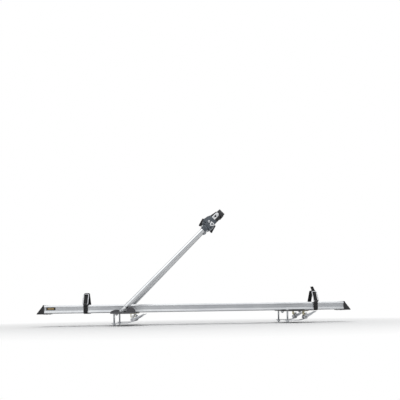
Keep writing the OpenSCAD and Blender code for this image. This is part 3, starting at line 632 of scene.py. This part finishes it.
def saddle_pad(x, half_y, top):
    """A rubber pad with ribs under it."""
    count = int(half_y * 2 / PAD_RIB)
    step = half_y * 2 / count
    outline = [(half_y, top), (-half_y, top)]
    for i in range(count):
        y = -half_y + i * step
        outline += [(y, 0.0), (y + step * 0.62, 0.0)]
        outline += [(y + step * 0.7, PAD_GROOVE), (y + step * 0.92, PAD_GROOVE)]
    outline.append((half_y, 0.0))
    return slab(outline, x - PAD_HALF_X, x + PAD_HALF_X, ALONG_X)


fit(saddle_pad(FRONT_SADDLE, half_y=118, top=2), "front_pad_rubber", "front_saddle_pad")
fit(saddle_pad(REAR_SADDLE, half_y=90, top=1.7), "rear_pad_rubber", "rear_saddle_pad")
soften("base_plate", "front_plate_steel", 0.5)
soften("rear_cross_plate", "rear_plate_steel", 0.5)


# Pivot blocks

BLOCK_IN = 80
BLOCK_OUT = 125.8
BLOCK_LOW = 5
BOSS_R = 10.8
LEFT_X = -27
RIGHT_X = 33
SCREW_Y = 118.3
SCREW_SEAT = 13.5
LEFT_LOBE = ([(-18, BLOCK_LOW), (-18, 17.41)] + arc(LEFT_X, -19.3, 37.8, 76.2, 135.6, 12)
             + [(-54, BLOCK_LOW)])
LEFT_PANEL = [(-21, 8.4)] + arc(LEFT_X, -19.3, 34.8, 80.1, 127.2, 12)
RIGHT_LOBE = arc(RIGHT_X, 7.5, 21, -6.8, 186.8, 28)
RIGHT_PANEL = [(48.6, 8.4)] + arc(RIGHT_X, 7.5, 17.6, 3, 177, 22) + [(17.4, 8.4)]
CHEEK = (arc(PIVOT_X, PIVOT_Z, BOSS_R, 0, 180, 18)
         + [(PIVOT_X - BOSS_R, BLOCK_LOW), (PIVOT_X + BOSS_R, BLOCK_LOW)])


def pivot_block():
    """The far block: two domes with screw wells, a cheek with the pivot's boss, a floor and a skirt."""
    left = side_slab(LEFT_LOBE, BLOCK_IN, BLOCK_OUT)
    right = side_slab(RIGHT_LOBE, 110.8, BLOCK_OUT)
    for lobe, panel, x in ((left, LEFT_PANEL, LEFT_X), (right, RIGHT_PANEL, RIGHT_X)):
        round_edges(lobe, 1.6, 4, 40)
        well = rod(4.8, (x, SCREW_Y, SCREW_SEAT), (x, SCREW_Y, 34))
        cut(lobe, side_slab(panel, BLOCK_OUT - 0.9, 128), well)
    cheek = round_edges(side_slab(CHEEK, BLOCK_IN, 89.4), 1.2, 3, 40)
    base = round_edges(block((-54, BLOCK_IN, BLOCK_LOW), (52, BLOCK_OUT, 7.2)), 0.8)
    skirt = round_edges(block((-50, 122.3, 0.8), (50, BLOCK_OUT, 6)), 1.0)
    return join(left, right, cheek, base, skirt)


far_block = pivot_block()
near_block = twin(far_block, MIRROR)
fit(far_block, "far_block_moulding", "far_pivot_block")
fit(near_block, "near_block_moulding", "near_pivot_block")


# Clamps under the cross plates

for place in ("front_near", "front_far", "rear_near", "rear_far"):
    soften(place + "_band", place + "_band_steel", 0.5)
    soften(place + "_lever", place + "_lever_steel", 0.5)
for place in ("front", "rear"):
    soften(place + "_clamp_hooks", place + "_hook_plates", 0.4)
    soften(place + "_clamp_pins", place + "_pin_tubes", 0.3)


# Head of the arm: drawn from the legs' tops, with u along the arm and w up from it

CORE = [(-2, -14), (15, -22), (36, -24), (36, 27), (19, 31), (-2, 14)]
JAW = [(17, -22), (36, -24), (52, -17), (57, -16.3), (57, 21.8), (42, 29), (19, 33), (17, 30)]
JAW_ARM = [(57, -16.3), (87, -12), (87, 16), (57, 21.8)]
HOOK = [(87, -37), (102, -33), (109, -24), (108, -10), (105, -8),
        (101, -10), (100, -18), (93, -25), (87, -26)]
JAW_IN = 27
JAW_OUT = 36
KNUCKLE_HALF = 14
GRIP_U = 60
GRIP_R = 22


def on_head(piece):
    """Moves a piece from its drawn place to the head."""
    piece.data.transform(HEAD)
    return piece


def bolt_bore():
    """Tool for the clamp bolt's way through the head."""
    return rod(4.3, (BOLT_U, -60, BOLT_W), (BOLT_U, 60, BOLT_W))


def pin_bore(radius=2.6):
    """Tool for the jaw pin's way through its knuckles."""
    return rod(radius, (PIN_U, PIN_Y, -40), (PIN_U, PIN_Y, 40))


def head_moulding():
    """The body that holds both legs and carries the jaws."""
    core = side_slab(CORE, -26.4, JAW_IN)
    top_normal = Vector((-0.17, 0, 0.98))
    press_panel(core, lambda at, normal: normal.dot(top_normal) > 0.95, margin=4, depth=1.2)
    round_edges(core, 2.4, 4, 25)
    cut(core, bolt_bore())
    sockets = round_edges(block((-17, -47, -14), (2, 47, 14)), 4.5, 5)
    collars = []
    for side in (-1, 1):
        collar = rod(12.6, (-18.5, side * leg_y(-18.5), 0), (3, side * leg_y(3), 0))
        collars.append(round_edges(collar, 1.0, 3, 40))
    ears = []
    for w in (-22.4, 14.4):
        ear = slab(arc(PIN_U, PIN_Y, 5.5, 180, 360, 14) + [(14.5, -25.4), (1, -25.4)], w, w + 8)
        ears.append(cut(round_edges(ear, 0.9, 3, 40), pin_bore()))
    return on_head(join(core, sockets, *collars, *ears))


def jaw_side(y0, y1):
    """A jaw's plate of moulded plastic and the foot of its knuckle."""
    plate = round_edges(side_slab(JAW, y0, y1), 2.0, 4, 25)
    foot = round_edges(block((PIN_U, y0, -KNUCKLE_HALF), (19, y1, KNUCKLE_HALF)), 0.9)
    return plate, cut(foot, pin_bore(2.9))


def near_jaw_moulding():
    """The near jaw, with a slot for the clamp bolt and a knuckle round its pin."""
    plate, foot = jaw_side(-JAW_OUT, -JAW_IN)
    slot = arc(BOLT_U + 4.5, BOLT_W, 4.6, -90, 90, 18) + arc(BOLT_U, BOLT_W, 4.6, 90, 270, 18)
    cut(plate, side_slab(slot, -50, -10))
    knuckle = rod(4.8, (PIN_U, PIN_Y, -KNUCKLE_HALF - 0.2), (PIN_U, PIN_Y, KNUCKLE_HALF + 0.2))
    round_edges(knuckle, 0.6, 2, 40)
    return on_head(join(plate, foot, cut(knuckle, pin_bore())))


def far_jaw_moulding():
    """The far jaw, with a boss for the knob to turn against."""
    plate, foot = jaw_side(JAW_IN, JAW_OUT)
    boss = round_edges(rod(11, (BOLT_U, 28, BOLT_W), (BOLT_U, 48.7, BOLT_W)), 1.2, 3, 40)
    return on_head(join(cut(plate, bolt_bore()), foot, cut(boss, bolt_bore())))


def jaw_arm(y0, y1):
    """The black end of a jaw, between its slate plate and its hooked tip."""
    return on_head(round_edges(side_slab(JAW_ARM, y0, y1), 1.4, 4, 25))


def jaw_hook():
    """The near jaw's hooked tip."""
    return on_head(round_edges(slab(HOOK, -19, 13), 2.0, 4, 20))


def jaw_pad():
    """The near jaw's rubber pad, hollowed round, with ribs along the hollow."""
    start, sweep, ribs, groove = 204.1, 131.8, 24, 0.9
    bite = []
    for i in range(ribs):
        for part, r in ((0.0, GRIP_R), (0.45, GRIP_R), (0.6, GRIP_R + groove), (0.85, GRIP_R + groove)):
            angle = math.radians(start + sweep * i / ribs + part * sweep / ribs)
            bite.append((GRIP_U + r * math.cos(angle), r * math.sin(angle)))
    angle = math.radians(start + sweep)
    bite.append((GRIP_U + GRIP_R * math.cos(angle), GRIP_R * math.sin(angle)))
    return on_head(slab(bite + [(84, -9), (84, -JAW_IN), (36.5, -JAW_IN), (36.5, -9)], -16, 16))


def knob():
    """Two broad wings on a hub, with dished faces."""
    reach, corner, neck = 40, 4, 9
    half_spread, first_wing = math.radians(26), math.radians(105)
    u = (reach - corner) * math.cos(half_spread)
    w = (reach - corner) * math.sin(half_spread)
    wing = [(5, -neck)] + arc(u, -w, corner, -108, 0, 8) + arc(u, w, corner, 0, 108, 8) + [(5, neck)]
    both = wing + [(-a, -b) for a, b in wing]
    wings = side_slab(both, 51.5, 60.5, Matrix.Rotation(-first_wing, 4, "Y"))
    press_panel(wings, lambda at, normal: normal.y > 0.9, margin=3.0, depth=1.0)
    round_edges(wings, 1.6, 4, 25)
    hub = rod(13, (0, 49, 0), (0, 63, 0))
    press_panel(hub, lambda at, normal: normal.y > 0.9, margin=2.6, depth=1.4)
    round_edges(hub, 1.0, 3, 30)
    for part in (wings, hub):
        cut(part, rod(4.1, (0, 40, 0), (0, 70, 0)))
    piece = join(wings, hub)
    piece.data.transform(HEAD @ shift(BOLT_U, 0, BOLT_W))
    return piece


fit(head_moulding(), "head_moulding", "head_body")
fit(near_jaw_moulding(), "near_jaw_moulding", "near_jaw")
fit(far_jaw_moulding(), "far_jaw_moulding", "far_jaw")
add_to("near_jaw_hook", jaw_arm(-JAW_OUT, -JAW_IN), "near_jaw_arm")
add_to("far_jaw_hook", jaw_arm(JAW_IN, JAW_OUT), "far_jaw_arm")
hook = jaw_hook()
fit(twin(hook, MIRROR), "far_hook_tip", "far_jaw_hook")
fit(hook, "near_hook_tip", "near_jaw_hook")
pad = jaw_pad()
fit(twin(pad, MIRROR), "far_pad_rubber", "far_jaw_pad")
fit(pad, "near_pad_rubber", "near_jaw_pad")
soften("jaw_plate", "jaw_plate_steel", 0.35)
soften("latch_plate", "latch_plate_steel", 0.35)
fit(knob(), "knob_moulding", "clamp_knob")


# Wheel straps and buckles

STRAP_HALF = 9
STRAP_EDGE = 2.6
STRAP_R = 5.0
STRAP_WALL = 1.7
RIB_PITCH = 3.0
RIB_RISE = 0.45
CORNERS = [(-37.6, 9.4), (37.6, 9.4), (37.6, 46), (13, 88.8), (-13, 88.8), (-37.6, 46)]
TAIL_Z = 96
BUCKLE_TILT = math.radians(60.1)
BUCKLE_LENGTH = 52.4
BUCKLE_BOW = 1.3
WIRE_R = 1.8
KEEPER_HALF = 8.6
KEEPER_R = 3.6


def strap_path(r):
    """Points round the strap at r outside its corner points, with even steps on the straights."""
    sides = list(zip(CORNERS, CORNERS[1:] + CORNERS[:1]))
    normals = [math.degrees(math.atan2(bz - az, by - ay)) - 90 for (ay, az), (by, bz) in sides]
    points = []
    for i, ((ay, az), (by, bz)) in enumerate(sides):
        before, after = normals[i - 1], normals[i]
        bend = (after - before) % 360
        points += arc(ay, az, r, before, before + bend, max(3, round(bend / 9)))
        ny, nz = math.cos(math.radians(after)) * r, math.sin(math.radians(after)) * r
        count = max(1, round(math.hypot(by - ay, bz - az) / RIB_PITCH))
        for k in range(1, count):
            points.append((ay + ny + (by - ay) * k / count, az + nz + (bz - az) * k / count))
    return points


def strap_loop(x):
    """A moulded strap round the tray: its outer face has cross ribs between two smooth edges."""
    piece = ring([(x - STRAP_HALF, y, z) for y, z in strap_path(STRAP_R)])
    for width in (STRAP_EDGE, 2 * (STRAP_HALF - STRAP_EDGE), STRAP_EDGE):
        bpy.ops.mesh.extrude_region_move(TRANSFORM_OT_translate={"value": (width * MM, 0, 0)})
    close_up()
    wall = piece.modifiers.new("wall", "SOLIDIFY")
    wall.thickness = STRAP_WALL * MM
    wall.offset = 1.0
    bpy.ops.object.modifier_apply(modifier="wall")
    crest = strap_path(STRAP_R + STRAP_WALL)
    mids = [((ay + by) / 2, (az + bz) / 2) for (ay, az), (by, bz) in zip(crest, crest[1:] + crest[:1])]

    def on_rib(at, normal):
        """Every other face along the middle of the outer side."""
        if abs(at.x - x) > 1:
            return False
        distance, index = min((math.hypot(at.y - y, at.z - z), i) for i, (y, z) in enumerate(mids))
        return distance < 0.3 and index % 2 == 0

    pick_faces(piece, on_rib)
    bpy.ops.mesh.inset(thickness=0.35 * MM, use_individual=True)
    bpy.ops.mesh.extrude_region_shrink_fatten(TRANSFORM_OT_shrink_fatten={"value": RIB_RISE * MM})
    bpy.ops.object.mode_set(mode="OBJECT")
    return round_edges(piece, 0.3, 2, 50)


def free_end(x):
    """The rear strap's free end, standing up beside its buckle, with the same cross ribs."""
    outline = [(-8, -1.5), (8, -1.5)] + arc(-2.5, 17.0, 1.6, 5, 85, 4) + arc(-12.6, 16.2, 1.6, 95, 190, 5)
    tail = round_edges(side_slab([(x + a, TAIL_Z + b) for a, b in outline], -14.1, -11.9), 0.5, 2, 40)
    ribs = []
    for rise in (3, 8, 13):
        middle = x - rise / 2 - 0.5
        rib = block((middle - 4.6, -14.5, TAIL_Z + rise - 1.1), (middle + 4.6, -13.6, TAIL_Z + rise + 1.1))
        ribs.append(round_edges(rib, 0.4, 2))
    return join(tail, *ribs)


def wire_frame(x):
    """A buckle bent from wire: a straight lower bar, sides that bow outwards and rounder top corners."""
    half = arc(8.6, 2.6, 2.6, -90, -15, 4)
    half += [(11.2, 4 + 40 * i / 8) for i in range(9)]
    half += arc(5.2, 46.4, 6, 5, 85, 6)
    path = half + [(-a, b) for a, b in reversed(half)]
    put_down()
    bpy.ops.curve.primitive_bezier_circle_add(radius=1)
    piece = bpy.context.object
    wire = piece.data
    wire.dimensions = "3D"
    wire.splines[0].type = "POLY"
    wire.splines[0].points.add(len(path) - len(wire.splines[0].points))
    for point, (a, b) in zip(wire.splines[0].points, path):
        bow = BUCKLE_BOW * (1 - (2 * b / BUCKLE_LENGTH - 1) ** 2)
        point.co = (a * MM, b * MM, bow * MM, 1)
    wire.bevel_depth = WIRE_R * MM
    wire.bevel_resolution = 5
    bpy.ops.object.convert(target="MESH")
    piece = bpy.context.object
    piece.data.transform(shift(x, BUCKLE_Y, BUCKLE_Z) @ Matrix.Rotation(BUCKLE_TILT, 4, "X"))
    return piece


def keeper(x):
    """The moulded eye that holds a buckle's lower bar against the strap."""
    y, z, back = BUCKLE_Y, BUCKLE_Z, BUCKLE_Y + 4.19
    outline = [(back, z + KEEPER_R)] + arc(y, z, KEEPER_R, 90, 270, 16) + [(back, z - KEEPER_R)]
    piece = round_edges(slab(outline, x - KEEPER_HALF, x + KEEPER_HALF, ALONG_X), 0.7, 3, 40)
    cut(piece, rod(WIRE_R + 0.1, (x - 12, y, z), (x + 12, y, z)))
    foot = block((x - KEEPER_HALF, y + 3.2, z - 7), (x + KEEPER_HALF, y + 4.15, z + 5))
    return join(piece, round_edges(foot, 0.4, 2))


fit(strap_loop(FRONT_STRAP), "front_strap_rubber", "front_wheel_strap")
fit(join(strap_loop(REAR_STRAP), free_end(REAR_STRAP)), "rear_strap_rubber", "rear_wheel_strap")
for place, x in (("front", FRONT_STRAP), ("rear", REAR_STRAP)):
    fit(wire_frame(x), place + "_buckle_wire", place + "_buckle")
    fit(keeper(x), place + "_keeper_moulding", place + "_strap_keeper")


# Fasteners

THREAD_PITCH = 1.25
THREAD_DEPTH = 0.6
BOLT_R = 4
NUT_BORE = 4.05
NUT_FLATS = 13
TRAY_BOLT_X = 42
CLAMP_BOLT_X = -40
REAR_LIFT = -0.3


def shank(r, tip, top, thread_top):
    """Profile of a bolt's shank with a chamfered tip and a thread up to a height."""
    profile = [(0, tip), (r - 1.0, tip)]
    z = tip + 0.8
    while z < thread_top:
        profile += [(r, z), (r - THREAD_DEPTH, z + 0.62)]
        z += THREAD_PITCH
    return profile + [(r, z), (r, top), (0, top)]


def hexagon(low, high):
    """A bolt head: a hexagon with its corners turned off at both ends."""
    corner = NUT_FLATS / 2 / math.cos(math.pi / 6)
    piece = rod(corner, (0, 0, low - 1), (0, 0, high + 1), sides=6)
    blank = round_edges(rod(corner + 0.05, (0, 0, low), (0, 0, high)), 1.0, 1, 40)
    return cut(piece, blank, keep="INTERSECT")


def hexagon_nut(low, high):
    """A nut: a hexagon with a bore that is chamfered at both ends."""
    wide, chamfer = NUT_BORE + 0.7, 0.7
    bore = [(0, low - 1), (wide, low - 1), (wide, low), (NUT_BORE, low + chamfer),
            (NUT_BORE, high - chamfer), (wide, high), (wide, high + 1), (0, high + 1)]
    return cut(hexagon(low, high), turned(bore))


def button(r, low, high, key=0):
    """A low domed head, with a hexagon socket where a key size is given."""
    rise = high - low
    profile = [(0, low), (r - 0.25, low), (r, low + 0.25), (r, low + rise * 0.35)]
    profile += [(r * (0.62 + 0.38 * math.cos(t)), low + rise * (0.35 + 0.65 * math.sin(t)))
                for t in (0.3, 0.6, 0.9, 1.2, 1.5)]
    piece = turned(profile + [(0, high)])
    if key:
        corner = key / 2 / math.cos(math.pi / 6)
        cut(piece, rod(corner, (0, 0, high - 0.6 * rise), (0, 0, high + 2), sides=6))
    return piece


cross = (block((-0.5, -2.6, 0.8), (0.5, 2.6, 3)), block((-2.6, -0.5, 0.8), (2.6, 0.5, 3)))
head = cut(button(r=4, low=0, high=1.6), *cross)
screw = join(head, turned([(0, -7.5), (1.2, -7.5), (2, -6.4), (2, 0.4), (0, 0.4)]))
places = [shift(x, y, CAP_LOW) @ UPSIDE_DOWN for x in (TRAY_FRONT + 7, TRAY_REAR - 7) for y in (-24, 24)]
fit(copies(screw, *places), "cap_screws", "end_cap_screws")

screw = join(button(r=4.6, low=SCREW_SEAT, high=16.5, key=4),
             turned(shank(r=2.5, tip=2, top=14, thread_top=9)))
places = [shift(x, y, 0) for x in (LEFT_X, RIGHT_X) for y in (-SCREW_Y, SCREW_Y)]
fit(copies(screw, *places), "block_screw_set", "block_screws")

bolt = join(button(r=7, low=110.5, high=115.5, key=6),
            turned(shank(BOLT_R, tip=71, top=111, thread_top=82)))
nut = hexagon_nut(low=73.5, high=80)
pivot = shift(PIVOT_X, 0, PIVOT_Z)
for pattern, name in ((bolt, "pivot_bolt"), (nut, "pivot_nut")):
    fit(copies(pattern, pivot @ ACROSS, pivot @ HALF_TURN @ ACROSS), name + "_pair", name + "s")

for place, x, lift in (("front", FRONT_SADDLE, 0.0), ("rear", REAR_SADDLE, REAR_LIFT)):
    places = [shift(x - TRAY_BOLT_X, 0, 0), shift(x + TRAY_BOLT_X, 0, 0)]
    nut = hexagon_nut(low=-4.5 + lift, high=2 + lift)
    fit(copies(nut, *places), place + "_tray_nut_pair", place + "_tray_nuts")
    head = round_edges(block((-8, -8, 7.5 - lift), (8, 8, 12.5 - lift)), 0.8, 2)
    bolt = join(head, turned(shank(BOLT_R, tip=-7.5 + lift, top=8.5 - lift, thread_top=1 + lift)))
    fit(copies(bolt, *places), place + "_tray_bolt_pair", place + "_tray_bolts")

for place, saddle, y, lift in (("front", FRONT_SADDLE, FRONT_CLAMP_Y, 0.0),
                               ("rear", REAR_SADDLE, REAR_CLAMP_Y, REAR_LIFT)):
    places = [shift(saddle + CLAMP_BOLT_X, -y, 0), shift(saddle + CLAMP_BOLT_X, y, 0)]
    nut = hexagon_nut(low=-48, high=-41.5)
    fit(copies(nut, *places), place + "_clamp_nut_pair", place + "_clamp_nuts")
    bolt = join(hexagon(low=5 + lift, high=10 + lift),
                turned(shank(BOLT_R, tip=-52, top=6 + lift, thread_top=-18)))
    fit(copies(bolt, *places), place + "_clamp_bolt_pair", place + "_clamp_bolts")


# Legs, and the fasteners of the arm

LEG_START = 20
LEG_END = LEG_TOP / math.cos(LEG_SPLAY)
LEG_R = 10
LEG_BORE = 8.5
LEG_BOLT_U = -8
both_ways = (Matrix(), UPSIDE_DOWN)

for side, place in ((-1, "near"), (1, "far")):
    tube = turned([(LEG_BORE, LEG_START), (LEG_R - 0.4, LEG_START), (LEG_R, LEG_START + 0.4),
                   (LEG_R, LEG_END - 0.4), (LEG_R - 0.4, LEG_END), (LEG_BORE, LEG_END)], 72)
    tube.data.transform(leg_frame(side) @ LYING_ON_X)
    fit(tube, place + "_leg_tube", place + "_leg", finish=place + "_leg_tube")
    soften(place + "_leg_lug", place + "_lug", 0.7, 3)

rivet = turned([(0, 8.4), (4.5, 8.4), (4.5, 10.2), (4.1, 10.7), (3.1, 11.05), (1.6, 11.2), (0, 11.2)])
places = [leg_frame(side) @ shift(38, 0, 0) @ way for side in (-1, 1) for way in both_ways]
fit(copies(rivet, *places), "lug_rivet_set", "lug_rivets")

bolt = button(r=5.1, low=14, high=17, key=4)
places = [HEAD @ shift(LEG_BOLT_U, side * leg_y(LEG_BOLT_U), 0) @ way
          for side in (-1, 1) for way in both_ways]
fit(copies(bolt, *places), "leg_bolt_set", "leg_bolts")

pin = turned([(0, -23), (2.1, -23), (2.5, -22.6), (2.5, 22.6), (2.1, 23), (0, 23)])
pin.data.transform(HEAD @ shift(PIN_U, PIN_Y, 0))
fit(pin, "jaw_pin_rod", "jaw_pin")

bolt = join(button(r=6.5, low=36.4, high=40.9, key=5),
            turned(shank(BOLT_R, tip=-67, top=37.4, thread_top=-58)))
bolt.data.transform(HEAD @ shift(BOLT_U, 0, BOLT_W) @ UPRIGHT)
fit(bolt, "clamp_bolt_steel", "clamp_bolt")


# Stage: pale floor, soft studio light

FLOOR_R = 9.0
FLOOR_PLACE = (0.33, 0, -0.0535)


def pale_world():
    """White behind the object, with a soft sky that is brighter overhead for its light and reflections."""
    world = bpy.data.worlds.new("studio")
    bpy.context.scene.world = world
    world.use_nodes = True
    tree = world.node_tree
    tree.nodes.clear()
    end = tree.nodes.new("ShaderNodeOutputWorld")
    where = tree.nodes.new("ShaderNodeTexCoord")
    split = tree.nodes.new("ShaderNodeSeparateXYZ")
    tree.links.new(where.outputs["Generated"], split.inputs[0])
    height = spread(tree, split.outputs["Z"], 0, 1, -0.25, 0.9)
    sky = tint(tree, height, (0.0, (0.40, 0.41, 0.43)), (0.45, (0.58, 0.60, 0.62)), (1.0, (1.0, 1.0, 1.0)))
    soft, mirrored, white = (tree.nodes.new("ShaderNodeBackground") for _ in range(3))
    soft.inputs["Strength"].default_value = 0.5
    for shade in (soft, mirrored):
        tree.links.new(sky, shade.inputs["Color"])
    for shade in (mirrored, white):
        shade.inputs["Strength"].default_value = 1.0
    white.inputs["Color"].default_value = (1, 1, 1, 1)
    ray = tree.nodes.new("ShaderNodeLightPath")
    seen = combined(tree, "MAXIMUM", ray.outputs["Is Camera Ray"], ray.outputs["Is Transmission Ray"])
    lit = layered(tree, ray.outputs["Is Glossy Ray"], soft.outputs[0], mirrored.outputs[0])
    tree.links.new(layered(tree, seen, lit, white.outputs[0]), end.inputs["Surface"])


def pale_floor():
    """A pale floor that keeps the shadow, and runs out to plain white away from the object."""
    finish, tree, skin, where = new_finish("pale_floor", (0.9, 0.9, 0.9), 0.9)
    skin.inputs["Specular IOR Level"].default_value = 0.1
    spot = tree.nodes.new("ShaderNodeMapping")
    spot.inputs["Location"].default_value = (-0.2, 0, 0)
    spot.inputs["Scale"].default_value = (0.6, 1.0, 0.0)
    tree.links.new(where, spot.inputs["Vector"])
    distance = tree.nodes.new("ShaderNodeVectorMath")
    distance.operation = "LENGTH"
    tree.links.new(spot.outputs["Vector"], distance.inputs[0])
    away = spread(tree, distance.outputs["Value"], 0, 1, 0.35, 1.0)
    ray = tree.nodes.new("ShaderNodeLightPath")
    seen = combined(tree, "MAXIMUM", ray.outputs["Is Camera Ray"], ray.outputs["Is Glossy Ray"])
    seen = combined(tree, "MAXIMUM", seen, ray.outputs["Is Transmission Ray"])
    white = tree.nodes.new("ShaderNodeEmission")
    faded = layered(tree, combined(tree, "MULTIPLY", seen, away), skin.outputs["BSDF"], white.outputs[0])
    tree.links.new(faded, tree.nodes["Material Output"].inputs["Surface"])
    return finish


def lamp(name, place, aim, size, watts):
    """A rectangular softbox at a place, turned to an aim."""
    light = bpy.data.lights.new(name, "AREA")
    light.shape = "RECTANGLE"
    light.size, light.size_y = size
    light.energy = watts
    holder = bpy.data.objects.new(name, light)
    bpy.context.scene.collection.objects.link(holder)
    holder.location = place
    holder.rotation_euler = (Vector(aim) - Vector(place)).to_track_quat("-Z", "Y").to_euler()


pale_world()
lamp("overhead_softbox", place=(0.3, -0.9, 2.5), aim=(0.3, -0.3, 0.0), size=(4.6, 3.2), watts=46)
lamp("front_fill", place=(-0.8, -3.2, 1.5), aim=(0.3, 0.0, 0.1), size=(2.4, 1.6), watts=8)
lamp("rear_rim", place=(1.4, 2.6, 1.8), aim=(0.3, 0.0, 0.2), size=(2.4, 1.2), watts=12)

put_down()
bpy.ops.mesh.primitive_circle_add(vertices=96, radius=FLOOR_R, fill_type="NGON", location=FLOOR_PLACE)
floor = bpy.context.object
floor.name = "floor"
bpy.ops.object.transform_apply(location=True)
floor.data.materials.append(pale_floor())
